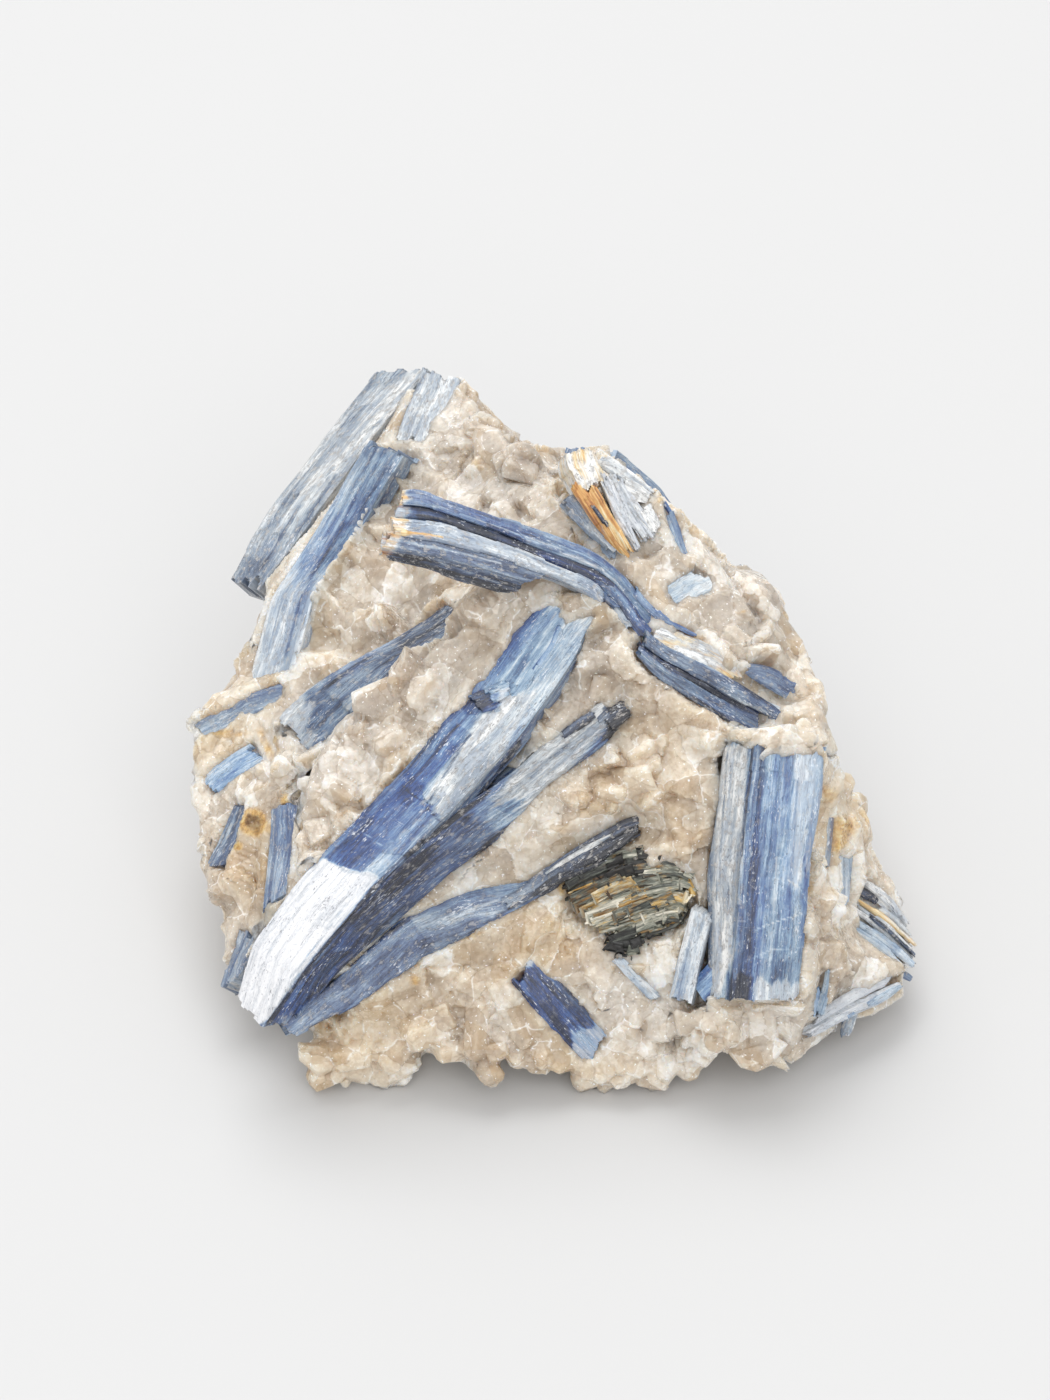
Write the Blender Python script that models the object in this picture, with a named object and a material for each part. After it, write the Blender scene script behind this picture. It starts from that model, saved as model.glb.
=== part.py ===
# Kyanite blade cluster: blue kyanite blades grown through a lump of granular quartz.
# Run with: blender --background --python part.py
import bpy
import bmesh
import math
import numpy as np
from mathutils import Vector
from mathutils.bvhtree import BVHTree

for _o in list(bpy.data.objects):
    bpy.data.objects.remove(_o)

# ---------------------------------------------------------------- driving dimensions
# The display side of the lump is laid out on a flat sheet that leans back 45 degrees.
# Sheet coordinates run right and down in units of 1/11.8 mm; the third number is the
# height out of the sheet in mm.  Sight lines meet at an eye point EYE_MM in front of it.
UNITS_PER_MM = 11.8
SHEET_MID = (525.0, 700.0)      # the sheet point on the central sight line
EYE_MM = 330.0                  # eye point to sheet
LEAN = math.radians(45.0)       # the sheet's normal points this far above the horizon
MID_HEIGHT_MM = 29.0            # height of the sheet's middle above the resting plane
GAP_MM = 0.4                    # clearance between a crystal and what it grows from
VOXEL_MM = 2.5                  # size of the facets of the broken quartz
SIN, COS = math.sin(LEAN), math.cos(LEAN)
TO_EYE = Vector((0.0, -COS, SIN))


def S(px, py, w=0.0):
    """A point of the layout sheet, w mm in front of it, in mm."""
    k = (EYE_MM - w) / EYE_MM
    u = (px - SHEET_MID[0]) / UNITS_PER_MM * k
    v = (SHEET_MID[1] - py) / UNITS_PER_MM * k
    return Vector((u, v * SIN - w * COS, MID_HEIGHT_MM + v * COS + w * SIN))


def W(x, y, z):
    """A point given directly: x right, y back, z up, in mm."""
    return Vector((x, y, z))


# ---------------------------------------------------------------- the quartz lump
# Overlapping broken blocks; each is the convex hull of its corners.
BLOCKS = {
    "front": [
        S(519, 577, -1), S(565, 574, -1), S(640, 640, -0.6), S(655, 690, 0), S(722, 735, 0.7),
        S(720, 800, 0.8), S(702, 900, -0.2), S(690, 1000, -1.8), S(640, 1060, -4.5), S(560, 1052, -4),
        S(480, 1045, -3.5), S(400, 1055, -4), S(330, 1060, -5), S(302, 1030, -4), S(292, 960, -3),
        S(300, 860, -2.5), S(305, 790, -3), S(342, 735, -2.5), S(387, 684, -2), S(430, 657, -1.5),
        S(480, 614, -1),
        W(-13, -12, -1), W(16, -12, -1), W(18, 20, -1), W(-14, 20, -1), W(-12, 22, 20), W(12, 20, 28),
    ],
    "upper_left": [
        S(455, 387, -23), S(500, 427, -18), S(545, 467, -13), S(578, 512, -8), S(600, 560, -5),
        S(520, 582, -7), S(460, 622, -9), S(380, 655, -11), S(330, 702, -12), S(292, 748, -12),
        S(262, 700, -16), S(258, 640, -18), S(300, 545, -20), S(360, 445, -23), S(400, 395, -24),
        W(-20, 30, 3), W(-24, 26, 14), W(-12, 36, 24), W(4, 34, 24), W(10, 30, 4), W(-16, 12, 4),
    ],
    "upper_right": [
        S(610, 480, -4.6), S(650, 500, -4.2), S(690, 527, -5.6), S(715, 562, -6.5), S(745, 580, -7.5),
        S(775, 614, -8), S(800, 642, -7.5), S(812, 667, -6.5), S(818, 700, -4), S(824, 742, -1),
        S(720, 740, 0.5), S(650, 650, -0.6), S(625, 567, -1.2), S(600, 542, -1.8), S(570, 502, -4.5),
        W(22, 22, 2), W(23, 23, 18), W(6, 28, 33), W(14, 4, 3),
    ],
    "left": [
        S(194, 737, -15.5), S(207, 702, -17), S(252, 642, -18), S(292, 702, -13), S(305, 762, -9),
        S(302, 830, -6), S(292, 900, -5), S(264, 923, -6.5), S(262, 958, -7.5), S(242, 974, -9.2), S(240, 932, -8.5), S(207, 888, -11.5),
        S(202, 850, -12.5), S(197, 790, -14.5),
        W(-16, 8, 1.5), W(-22, 16, 5), W(-14, -4, 1.5), W(-25, 17, 14),
    ],
    "right_foot": [
        S(815, 762, -1.5), S(836, 797, -6), S(850, 815, -9.5), S(855, 860, -10.5), S(880, 888, -12.5),
        S(903, 915, -12.5), S(911, 945, -12), S(908, 968, -11), S(890, 988, -10), S(848, 1014, -9),
        S(800, 1036, -6.5), S(762, 1066, -6), S(730, 1050, -5), S(715, 1000, -1.2), S(800, 985, -0.2),
        W(26, 6, 3), W(27, 10, 12), W(14, -8, 0.5),
    ],
    "back": [
        W(-18, 34, 8), W(-8, 38, 20), W(6, 36, 22), W(16, 31, 12), W(14, 30, -1), W(-12, 31, -1),
        W(-4, 10, -1), W(-10, 30, 28), W(8, 26, 33), W(20, 24, 20),
    ],
}

# Coarse crystals of the lump that stand out of it: centre, half sizes in mm, turn in degrees.
LUMPS = [
    (S(338, 1052, -6), (3.2, 2.2, 2.4), 20),
    (S(385, 1066, -7), (2.4, 1.9, 2.6), -35),
    (S(435, 1036, -4.5), (3.4, 2.1, 2.0), 10),
    (S(478, 1048, -4.5), (1.8, 2.9, 2.0), 40),
    (S(545, 1052, -5.5), (2.6, 1.9, 2.6), 0),
    (S(610, 1070, -6.5), (2.4, 1.6, 2.2), 15),
    (S(652, 1068, -6.5), (2.0, 1.9, 2.4), -25),
    (S(695, 1052, -5.5), (2.2, 1.7, 2.0), 30),
    (S(760, 1052, -5), (2.2, 2.0, 2.2), -15),
    (S(222, 895, -11), (1.9, 1.7, 1.8), 10),
    (S(285, 770, -10), (1.7, 2.6, 2.0), 5),
    (S(205, 720, -16), (1.8, 1.8, 2.2), 0),
    (S(745, 610, -8), (3.4, 2.6, 3.0), 25),
    (S(790, 690, -6.5), (2.6, 3.0, 2.6), 10),
    (S(520, 470, -14), (3.0, 2.4, 3.0), -35),
    (S(850, 830, -9.5), (1.6, 2.4, 2.0), 5),
]


def cell_noise(points, size, seed):
    """Cellular noise: for each point the nearest and second distances, the nearest centre,
    and a random number and a random direction that belong to it."""
    rng = np.random.default_rng(seed)
    n = 64
    jitter = rng.random((n, n, n, 3))
    value = rng.random((n, n, n))
    turn = rng.normal(size=(n, n, n, 3))
    p = points / size + n / 2
    base = np.floor(p).astype(int)
    f1 = np.full(len(p), 1e9)
    f2 = np.full(len(p), 1e9)
    centre = np.zeros_like(p)
    own = np.zeros((len(p), 3), int)
    for dx in (-1, 0, 1):
        for dy in (-1, 0, 1):
            for dz in (-1, 0, 1):
                c = (base + (dx, dy, dz)) % n
                s = base + (dx, dy, dz) + jitter[c[:, 0], c[:, 1], c[:, 2]]
                d = np.linalg.norm(p - s, axis=1)
                closer = d < f1
                f2 = np.where(closer, f1, np.minimum(f2, d))
                f1 = np.where(closer, d, f1)
                centre[closer] = s[closer]
                own[closer] = c[closer]
    k = (own[:, 0], own[:, 1], own[:, 2])
    direction = turn[k] / np.linalg.norm(turn[k], axis=1)[:, None]
    return f1 * size, f2 * size, (centre - n / 2) * size, value[k], direction


def mesh_object(name, bm, collection=True):
    mesh = bpy.data.meshes.new(name)
    bm.to_mesh(mesh)
    bm.free()
    obj = bpy.data.objects.new(name, mesh)
    bpy.context.scene.collection.objects.link(obj)
    return obj


def hull_into(bm, corners):
    verts = [bm.verts.new(Vector(c) / 1000) for c in corners]
    made = bmesh.ops.convex_hull(bm, input=verts)
    loose = [v for v in made["geom_interior"] + made["geom_unused"] if isinstance(v, bmesh.types.BMVert)]
    bmesh.ops.delete(bm, geom=list(set(loose)), context="VERTS")


def lump_corners(centre, half, turn, seed):
    """A blunt many-sided crystal: points spread over a sphere, stretched and turned."""
    rng = np.random.default_rng(seed)
    a = math.radians(turn)
    corners = []
    for i in range(16):
        z = 1 - 2 * (i + 0.5) / 16
        r = math.sqrt(1 - z * z)
        t = i * 2.39996 + rng.random() * 0.8
        q = Vector((r * math.cos(t) * half[0], r * math.sin(t) * half[1], z * half[2])) * (0.85 + 0.3 * rng.random())
        # q runs right, up the sheet and out of it
        right, up = q.x * math.cos(a) - q.y * math.sin(a), q.x * math.sin(a) + q.y * math.cos(a)
        corners.append(centre + Vector((right, up * SIN - q.z * COS, up * COS + q.z * SIN)))
    return corners


def applied(obj):
    """Replaces the object's mesh with what its modifiers make of it."""
    graph = bpy.context.evaluated_depsgraph_get()
    mesh = bpy.data.meshes.new_from_object(obj.evaluated_get(graph))
    obj.modifiers.clear()
    obj.data = mesh
    return obj


def largest_part(obj):
    """Keeps the largest connected body; chips that a cut sets free fall away."""
    bm = bmesh.new()
    bm.from_mesh(obj.data)
    bm.verts.ensure_lookup_table()
    seen, parts = set(), []
    for start in bm.verts:
        if start.index in seen:
            continue
        stack, group = [start], []
        seen.add(start.index)
        while stack:
            v = stack.pop()
            group.append(v)
            for e in v.link_edges:
                o = e.other_vert(v)
                if o.index not in seen:
                    seen.add(o.index)
                    stack.append(o)
        parts.append(group)

    def spread(group):
        co = np.array([v.co[:] for v in group])
        return float(np.prod(co.max(0) - co.min(0) + 1e-9))

    if len(parts) > 1:
        parts.sort(key=spread)
        for group in parts[:-1]:
            bmesh.ops.delete(bm, geom=group, context="VERTS")
    bmesh.ops.dissolve_degenerate(bm, dist=2e-6, edges=bm.edges)
    bm.to_mesh(obj.data)
    bm.free()


def cut(obj, cutter):
    m = obj.modifiers.new("cut", "BOOLEAN")
    m.operation = "DIFFERENCE"
    m.solver = "EXACT"
    m.object = cutter
    applied(obj)


def untangle(obj):
    """Relaxes the few spots where facets of the rough surface pass through each other."""
    bm = bmesh.new()
    bm.from_mesh(obj.data)
    bmesh.ops.triangulate(bm, faces=bm.faces)
    for _ in range(30):
        bm.faces.ensure_lookup_table()
        tree = BVHTree.FromBMesh(bm)
        spots = set()
        for i, j in tree.overlap(tree):
            if i < j and not set(bm.faces[i].verts) & set(bm.faces[j].verts):
                spots.update(bm.faces[i].verts)
                spots.update(bm.faces[j].verts)
        if not spots:
            break
        spots.update([e.other_vert(v) for v in list(spots) for e in v.link_edges])
        places = {v: sum((e.other_vert(v).co for e in v.link_edges), Vector()) / len(v.link_edges) for v in spots}
        for v, place in places.items():
            v.co = v.co.lerp(place, 0.5)
    bm.to_mesh(obj.data)
    bm.free()


def quartz_lump():
    bm = bmesh.new()
    for corners in BLOCKS.values():
        hull_into(bm, corners)
    for i, (centre, half, turn) in enumerate(LUMPS):
        hull_into(bm, lump_corners(centre, half, turn, 50 + i))
    obj = mesh_object("quartz_matrix", bm)
    voxel = obj.modifiers.new("join", "REMESH")
    voxel.mode = "VOXEL"
    voxel.voxel_size = VOXEL_MM / 1000
    applied(obj)
    # broken facets: each patch of the surface takes its own slope
    mesh = obj.data
    co = np.empty(len(mesh.vertices) * 3)
    no = np.empty(len(mesh.vertices) * 3)
    mesh.vertices.foreach_get("co", co)
    mesh.vertices.foreach_get("normal", no)
    co, no = co.reshape(-1, 3) * 1000, no.reshape(-1, 3)
    _, _, centre, value, direction = cell_noise(co, 7.0, 11)
    slope = ((co - centre) * direction).sum(1)
    co += no * (0.7 * (value - 0.5) + 0.16 * slope)[:, None]
    mesh.vertices.foreach_set("co", (co / 1000).ravel())
    mesh.update()
    untangle(obj)
    # the natural flat that the lump rests on
    bm = bmesh.new()
    bm.from_mesh(obj.data)
    out = bmesh.ops.bisect_plane(bm, geom=bm.verts[:] + bm.edges[:] + bm.faces[:], plane_co=(0, 0, 0),
                                 plane_no=(0, 0, -1), clear_outer=True)
    rim = [e for e in out["geom_cut"] if isinstance(e, bmesh.types.BMEdge)]
    bmesh.ops.triangle_fill(bm, edges=rim, use_beauty=True, use_dissolve=False, normal=(0, 0, -1))
    bmesh.ops.recalc_face_normals(bm, faces=bm.faces)
    bm.to_mesh(obj.data)
    bm.free()
    return obj


# ---------------------------------------------------------------- the kyanite blades
# A blade is a run of stations, each the left and right edge of its upper face, and a
# thickness in mm.  Kyanite blades are flat, with bevelled side faces.
FLAT = [(0.0, 0.30), (0.07, 0.0), (0.93, 0.0), (1.0, 0.30), (1.0, 0.75), (0.9, 1.0), (0.1, 1.0), (0.0, 0.75)]
THIN = [(0.0, 0.35), (0.12, 0.0), (0.88, 0.0), (1.0, 0.35), (1.0, 0.6), (0.85, 1.0), (0.15, 1.0), (0.0, 0.6)]

CRYSTALS = {
    "front_blade_sheaf": [
        (FLAT, 3.0, [
            (S(236, 1000, -0.5), S(262, 1028, 0.5)), (S(250, 945, 0.0), S(300, 970, 2.2)),
            (S(297, 880, 0.2), S(348, 915, 2.8)), (S(345, 830, 0.2), S(402, 860, 2.8)),
            (S(403, 768, 0.0), S(455, 805, 2.6)), (S(465, 697, -0.2), S(520, 735, 2.2)),
            (S(515, 628, -0.5), S(572, 660, 1.6)), (S(552, 585, -1.2), S(598, 612, 0.6))]),
        (FLAT, 2.6, [
            (S(264, 1025, 0.0), S(284, 1034, -0.8)), (S(300, 972, 1.9), S(340, 972, -0.6)),
            (S(348, 917, 2.4), S(402, 920, -0.6)), (S(402, 862, 2.4), S(455, 872, -0.6)),
            (S(455, 812, 1.6), S(502, 838, -0.6)), (S(510, 775, 0.6), S(545, 788, -0.8)),
            (S(565, 727, 0.2), S(603, 748, -1.0)), (S(612, 697, -0.6), S(636, 712, -1.6))]),
        (THIN, 1.8, [
            (S(279, 1026, -0.8), S(288, 1040, -1.2)), (S(338, 978, -1.3), S(360, 1003, -1.6)),
            (S(400, 920, -1.4), S(420, 962, -1.8)), (S(466, 890, -2.0), S(480, 930, -2.0)),
            (S(525, 880, -2.1), S(535, 902, -2.1)), (S(585, 848, -2.1), S(595, 862, -2.2)),
            (S(634, 824, -2.0), S(644, 833, -2.2))]),
    ],
    "bent_blade": [
        (FLAT, 2.6, [
            (S(397, 489, 0.3), S(381, 550, 2.6)), (S(440, 497, 0.9), S(424, 566, 3.0)),
            (S(500, 516, 1.2), S(484, 588, 2.8)), (S(560, 536, 1.0), S(545, 588, 2.0)),
            (S(606, 556, 0.5), S(590, 592, 1.4)), (S(632, 580, 0.0), S(614, 606, 1.0)),
            (S(650, 606, -0.4), S(630, 628, 0.8)), (S(664, 634, -0.8), S(640, 652, 0.6))]),
        (FLAT, 2.4, [
            (S(643, 624, -0.5), S(632, 652, 0.7)), (S(672, 650, -0.2), S(660, 684, 1.0)),
            (S(705, 662, -0.3), S(698, 706, 1.1)), (S(745, 682, -1.2), S(738, 732, 0.5)),
            (S(784, 703, -2.2), S(768, 738, -0.6))]),
    ],
    "upper_left_blade": [
        (FLAT, 2.6, [
            (S(368, 440, -19.5), S(404, 448, -17)), (S(318, 525, -19), S(350, 540, -15.8)),
            (S(270, 600, -18), S(312, 592, -14.8)), (S(245, 692, -16.5), S(286, 690, -13.3))]),
    ],
    "far_left_blade": [
        (FLAT, 3.2, [
            (S(375, 370, -25.5), S(430, 368, -23.5)), (S(320, 440, -25.5), S(375, 430, -22.5)),
            (S(268, 508, -25), S(328, 494, -21.5)), (S(228, 580, -24), S(258, 590, -20.8))]),
        (THIN, 2.2, [
            (S(422, 367, -23.2), S(462, 380, -21.8)), (S(394, 440, -20.6), S(421, 447, -19.2))]),
    ],
    "left_ledge_blade": [
        (FLAT, 2.2, [
            (S(442, 603, -7.2), S(460, 612, -5.8)), (S(400, 634, -8.2), S(440, 642, -5.6)),
            (S(350, 661, -9.2), S(400, 668, -6.6)), (S(318, 682, -9.7), S(362, 706, -7.2)),
            (S(288, 706, -10.4), S(326, 740, -8.3)), (S(276, 724, -10.8), S(304, 753, -9.3))]),
    ],
    "pale_left_blade": [
        (FLAT, 2.6, [
            (S(202, 776, -14.8), S(208, 799, -13.6)), (S(226, 755, -13.6), S(238, 778, -12.4)),
            (S(252, 740, -12.8), S(268, 758, -11.6))]),
    ],
    "grey_left_blade": [
        (FLAT, 2.2, [
            (S(284, 681, -13.8), S(292, 699, -12.6)), (S(240, 695, -15.2), S(248, 718, -14.0)),
            (S(191, 724, -16.4), S(196, 745, -15.4))]),
    ],
    "left_lower_blade": [
        (FLAT, 2.0, [
            (S(272, 803, -8.7), S(298, 803, -6.8)), (S(267, 860, -7.6), S(295, 850, -5.7)),
            (S(262, 915, -6.4), S(284, 898, -4.4))]),
    ],
    "left_outer_blade": [
        (FLAT, 2.0, [
            (S(236, 803, -11.8), S(252, 797, -10.4)), (S(203, 872, -12.0), S(226, 868, -10.0))]),
    ],
    "left_tail_blade": [
        (THIN, 1.7, [
            (S(240, 922, -8.8), S(262, 932, -6.2)), (S(219, 990, -8.4), S(233, 986, -6.8))]),
    ],
    "deep_blue_blade": [
        (FLAT, 2.6, [
            (S(507, 980, -2.2), S(533, 957, -2.0)), (S(540, 1020, -2.8), S(573, 993, -2.4)),
            (S(583, 1063, -4.4), S(619, 1047, -3.8))]),
    ],
    "upright_blade": [
        (FLAT, 3.3, [
            (S(756, 742, 2.4), S(826, 747, 0.8)), (S(748, 800, 3.0), S(820, 800, 1.5)),
            (S(742, 870, 3.0), S(810, 868, 1.7)), (S(736, 940, 2.6), S(804, 940, 1.5)),
            (S(730, 1002, 2.0), S(800, 1002, 0.9))]),
        (FLAT, 2.6, [
            (S(724, 742, 0.4), S(760, 742, 2.3)), (S(717, 800, 0.2), S(753, 800, 2.8)),
            (S(706, 870, 0.0), S(747, 870, 2.8)), (S(707, 940, -0.2), S(741, 940, 2.4)),
            (S(704, 1000, -0.6), S(735, 1002, 1.8))]),
    ],
    "small_pale_blade": [
        (THIN, 1.7, [
            (S(692, 906, 0.4), S(711, 917, 0.9)), (S(668, 1000, -0.8), S(690, 1006, -0.2))]),
    ],
    "blue_chip": [
        (THIN, 1.1, [
            (S(716, 954, 0.2), S(733, 964, 0.7)), (S(690, 984, -0.8), S(702, 1003, -0.4))]),
    ],
    "thin_sliver": [
        (THIN, 1.1, [
            (S(611, 962, -2.2), S(620, 956, -2.0)), (S(650, 1004, -3.1), S(666, 1000, -2.7))]),
    ],
    "rusty_top_blade": [
        (FLAT, 3.6, [
            (S(562, 462, -1.5), S(600, 453, -3.2)), (S(570, 495, -0.8), S(640, 485, -3.2)),
            (S(600, 528, -0.6), S(656, 515, -2.8)), (S(633, 561, -0.8), S(668, 556, -2.2))]),
    ],
    "top_edge_blade": [
        (THIN, 1.6, [
            (S(660, 495, -3.2), S(671, 496, -3.8)), (S(667, 525, -2.8), S(680, 520, -3.6)),
            (S(683, 560, -2.7), S(692, 561, -3.3))]),
    ],
    "speckled_sliver": [
        (THIN, 1.3, [
            (S(563, 507, -3.4), S(572, 499, -3.0)), (S(610, 562, -1.5), S(622, 558, -1.2))]),
    ],
    "glassy_blade": [
        (THIN, 1.6, [
            (S(655, 592, -0.8), S(674, 612, -0.7)), (S(700, 564, -3.2), S(724, 584, -3.4))]),
    ],
    "right_fragment": [
        (THIN, 1.3, [
            (S(745, 664, -3.4), S(750, 680, -3.0)), (S(792, 676, -5.4), S(802, 697, -4.6))]),
    ],
    "right_foot_blade": [
        (FLAT, 3.0, [
            (S(862, 872, -11.2), S(843, 920, -8.0)), (S(905, 912, -12.4), S(892, 962, -9.4)),
            (S(919, 945, -12), S(914, 970, -10.6))]),
    ],
    "right_edge_blade": [
        (FLAT, 2.2, [
            (S(801, 1014, -4.2), S(797, 1038, -5.0)), (S(850, 986, -6.6), S(850, 1016, -7.6)),
            (S(904, 972, -9.6), S(908, 986, -10.2))]),
        (THIN, 1.2, [
            (S(834, 1000, -7.0), S(858, 1003, -7.5)), (S(842, 1041, -8.4), S(851, 1040, -8.6))]),
    ],
    "right_grey_blade": [
        (THIN, 1.5, [
            (S(834, 852, -7.2), S(856, 850, -9.4)), (S(838, 910, -6.6), S(851, 906, -8.2))]),
    ],
    "brown_sliver": [
        (THIN, 1.1, [
            (S(828, 812, -4.4), S(837, 812, -5.4)), (S(823, 872, -4.2), S(830, 874, -5.2))]),
    ],
    "small_blue_blade": [
        (THIN, 1.1, [
            (S(820, 968, -3.4), S(832, 965, -3.9)), (S(811, 1016, -4.0), S(823, 1013, -4.5))]),
    ],
    "altered_book": [
        (FLAT, 2.0, [
            (S(559, 889, -2.6), S(572, 912, -2.6)), (S(600, 880, -2.0), S(602, 937, -2.8)),
            (S(642, 867, -1.5), S(640, 943, -2.6)), (S(680, 868, -1.2), S(676, 926, -1.8)),
            (S(698, 880, -1.0), S(694, 902, -1.4))]),
    ],
    "back_long_blade": [
        (FLAT, 2.8, [
            (W(-15.2, 33.6, 26.2), W(-17.8, 33.4, 21.4)), (W(-6.6, 37.6, 21.6), W(-9.4, 37.4, 16.6)),
            (W(3.2, 37.4, 15.8), W(0.6, 36.8, 11.0)), (W(12.4, 35.4, 9.4), W(10.4, 34.8, 5.6))], W(0, 1, 0)),
    ],
    "back_cross_blade": [
        (FLAT, 2.4, [
            (W(3.6, 34.2, 27.6), W(8.4, 32.6, 28.6)), (W(7.6, 35.0, 22.4), W(12.4, 33.2, 23.6)),
            (W(11.6, 35.0, 16.0), W(16.2, 32.6, 17.4)), (W(14.6, 33.2, 9.6), W(18.4, 30.8, 11.0))], W(0.3, 1, 0.2)),
    ],
    "back_low_blade": [
        (FLAT, 2.2, [
            (W(-17.4, 31.6, 9.4), W(-16.8, 31.0, 5.4)), (W(-9.0, 34.6, 8.2), W(-8.8, 34.0, 4.0)),
            (W(-1.0, 34.6, 6.2), W(-1.2, 33.8, 2.6))], W(0, 1, 0)),
    ],
    "left_rear_blade": [
        (FLAT, 2.4, [
            (W(-24.0, 15.6, 9.6), W(-22.0, 14.6, 5.0)), (W(-24.4, 22.0, 13.0), W(-23.2, 23.2, 8.4)),
            (W(-22.6, 28.6, 15.8), W(-22.4, 29.8, 11.6))], W(-1, 0, 0)),
    ],
    "right_side_blade": [
        (FLAT, 2.6, [
            (W(25.6, 0.6, 25.8), W(27.0, -0.6, 21.4)), (W(25.9, 8.0, 22.6), W(26.0, 6.4, 17.6)),
            (W(24.9, 16.0, 18.6), W(24.7, 14.6, 14.2))], W(1, 0, 0)),
    ],
    "right_rear_blade": [
        (FLAT, 2.2, [
            (W(22.4, 20.6, 22.2), W(19.6, 25.0, 21.6)), (W(23.6, 20.8, 14.0), W(20.6, 25.6, 13.4)),
            (W(24.0, 19.6, 6.0), W(21.4, 23.8, 5.6))], W(1, 0.5, 0)),
    ],
}


def rings_of(profile, thick, stations, facing=TO_EYE, grow=0.0, lift=0.0):
    """The cross-sections of one blade with its upper face towards facing, in mm; grow widens
    it all round, lift raises its upper face."""
    mids = [(a + b) / 2 for a, b in stations]
    last = len(stations) - 1
    rings = []
    for i, (left, right) in enumerate(stations):
        along = (mids[min(i + 1, last)] - mids[max(i - 1, 0)]).normalized()
        across = right - left
        out = across.cross(along).normalized()
        if out.dot(facing) < 0:
            out = -out
        unit = across.normalized()
        left, right = left - unit * grow, right + unit * grow
        if grow and i in (0, last):
            end = along * (grow if i else -grow)
            left, right = left + end, right + end
        across = right - left
        ring = []
        for a, b in profile:
            depth = b * thick - lift if b <= 0.5 else b * thick
            depth += 0.0 if 0.0 < b < 1.0 else (grow if b else -grow)
            ring.append(left + across * a - out * depth)
        rings.append(ring)
    return rings


def slab_into(bm, *slab):
    """Lofts one blade into bm."""
    rings = [[bm.verts.new(c / 1000) for c in ring] for ring in rings_of(*slab)]
    k = len(rings[0])
    for one, two in zip(rings, rings[1:]):
        for j in range(k):
            bm.faces.new((one[j], one[(j + 1) % k], two[(j + 1) % k]))
            bm.faces.new((one[j], two[(j + 1) % k], two[j]))
    bm.faces.new(rings[0][::-1])
    bm.faces.new(rings[-1])
    bmesh.ops.triangulate(bm, faces=bm.faces)
    bmesh.ops.recalc_face_normals(bm, faces=bm.faces)


def crystal(name, slabs):
    """One crystal, or several that grew into each other joined into one solid."""
    first = None
    for slab in slabs:
        bm = bmesh.new()
        slab_into(bm, *slab)
        obj = mesh_object(name if first is None else name + "_part", bm)
        if first is None:
            first = obj
            continue
        m = first.modifiers.new("join", "BOOLEAN")
        m.operation = "UNION"
        m.solver = "EXACT"
        m.use_self = True
        m.object = obj
        applied(first)
        bpy.data.objects.remove(obj)
    return first


def make_room(obj, slabs, lift=0.0):
    """Cuts the room that a crystal takes, with its clearance, out of obj."""
    for profile, thick, stations, *facing in slabs:
        bm = bmesh.new()
        slab_into(bm, profile, thick, stations, *(facing or [TO_EYE]), GAP_MM, lift)
        cutter = mesh_object("cutter", bm)
        cut(obj, cutter)
        bpy.data.objects.remove(cutter)


# ---------------------------------------------------------------- materials
QUARTZ = ("quartz", (0.72, 0.66, 0.58, 1), 0.45)
KYANITE = ("kyanite_blue", (0.12, 0.22, 0.48, 1), 0.3)
PALE = ("kyanite_pale", (0.46, 0.55, 0.70, 1), 0.35)
RUSTY = ("kyanite_iron_stained", (0.45, 0.28, 0.10, 1), 0.55)
MICA = ("altered_mica", (0.14, 0.13, 0.08, 1), 0.5)


def material(spec):
    name, colour, rough = spec
    m = bpy.data.materials.get(name)
    if m is None:
        m = bpy.data.materials.new(name)
        m.use_nodes = True
        p = m.node_tree.nodes["Principled BSDF"]
        p.inputs["Base Color"].default_value = colour
        p.inputs["Roughness"].default_value = rough
        p.inputs["Metallic"].default_value = 0.0
    return m


LOOK = {
    "pale_left_blade": PALE, "grey_left_blade": PALE, "small_pale_blade": PALE, "thin_sliver": PALE,
    "glassy_blade": PALE, "far_left_blade": PALE, "right_grey_blade": PALE, "right_edge_blade": PALE,
    "rusty_top_blade": RUSTY, "brown_sliver": RUSTY, "altered_book": MICA,
}

# ---------------------------------------------------------------- build
matrix = quartz_lump()

finished = []
for name, slabs in CRYSTALS.items():
    body = crystal(name, slabs)
    for other_slabs in finished:
        make_room(body, other_slabs)
    largest_part(body)
    finished.append(slabs)
    body.data.materials.clear()
    body.data.materials.append(material(LOOK.get(name, KYANITE)))
    make_room(matrix, slabs, 4.0)

largest_part(matrix)
matrix.data.materials.clear()
matrix.data.materials.append(material(QUARTZ))
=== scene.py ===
# Looks of the kyanite blade cluster: granular quartz, striated blades, floor, light, camera.
import bpy
import bmesh
import math
import numpy as np
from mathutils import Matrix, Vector
from mathutils.bvhtree import BVHTree


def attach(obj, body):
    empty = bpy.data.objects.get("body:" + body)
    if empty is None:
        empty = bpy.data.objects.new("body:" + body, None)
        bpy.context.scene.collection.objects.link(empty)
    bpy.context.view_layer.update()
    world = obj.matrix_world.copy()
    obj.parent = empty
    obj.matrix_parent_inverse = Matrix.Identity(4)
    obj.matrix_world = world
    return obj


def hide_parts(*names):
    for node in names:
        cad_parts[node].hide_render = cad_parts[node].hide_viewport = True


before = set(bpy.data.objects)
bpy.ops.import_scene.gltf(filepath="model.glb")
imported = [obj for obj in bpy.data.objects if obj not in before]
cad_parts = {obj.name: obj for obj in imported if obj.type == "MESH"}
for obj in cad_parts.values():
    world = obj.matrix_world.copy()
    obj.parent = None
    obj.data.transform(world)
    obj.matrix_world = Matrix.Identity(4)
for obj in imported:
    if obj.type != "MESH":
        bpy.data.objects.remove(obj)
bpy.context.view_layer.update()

# ---------------------------------------------------------------- layout, as in part.py
UNITS_PER_MM = 11.8
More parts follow.
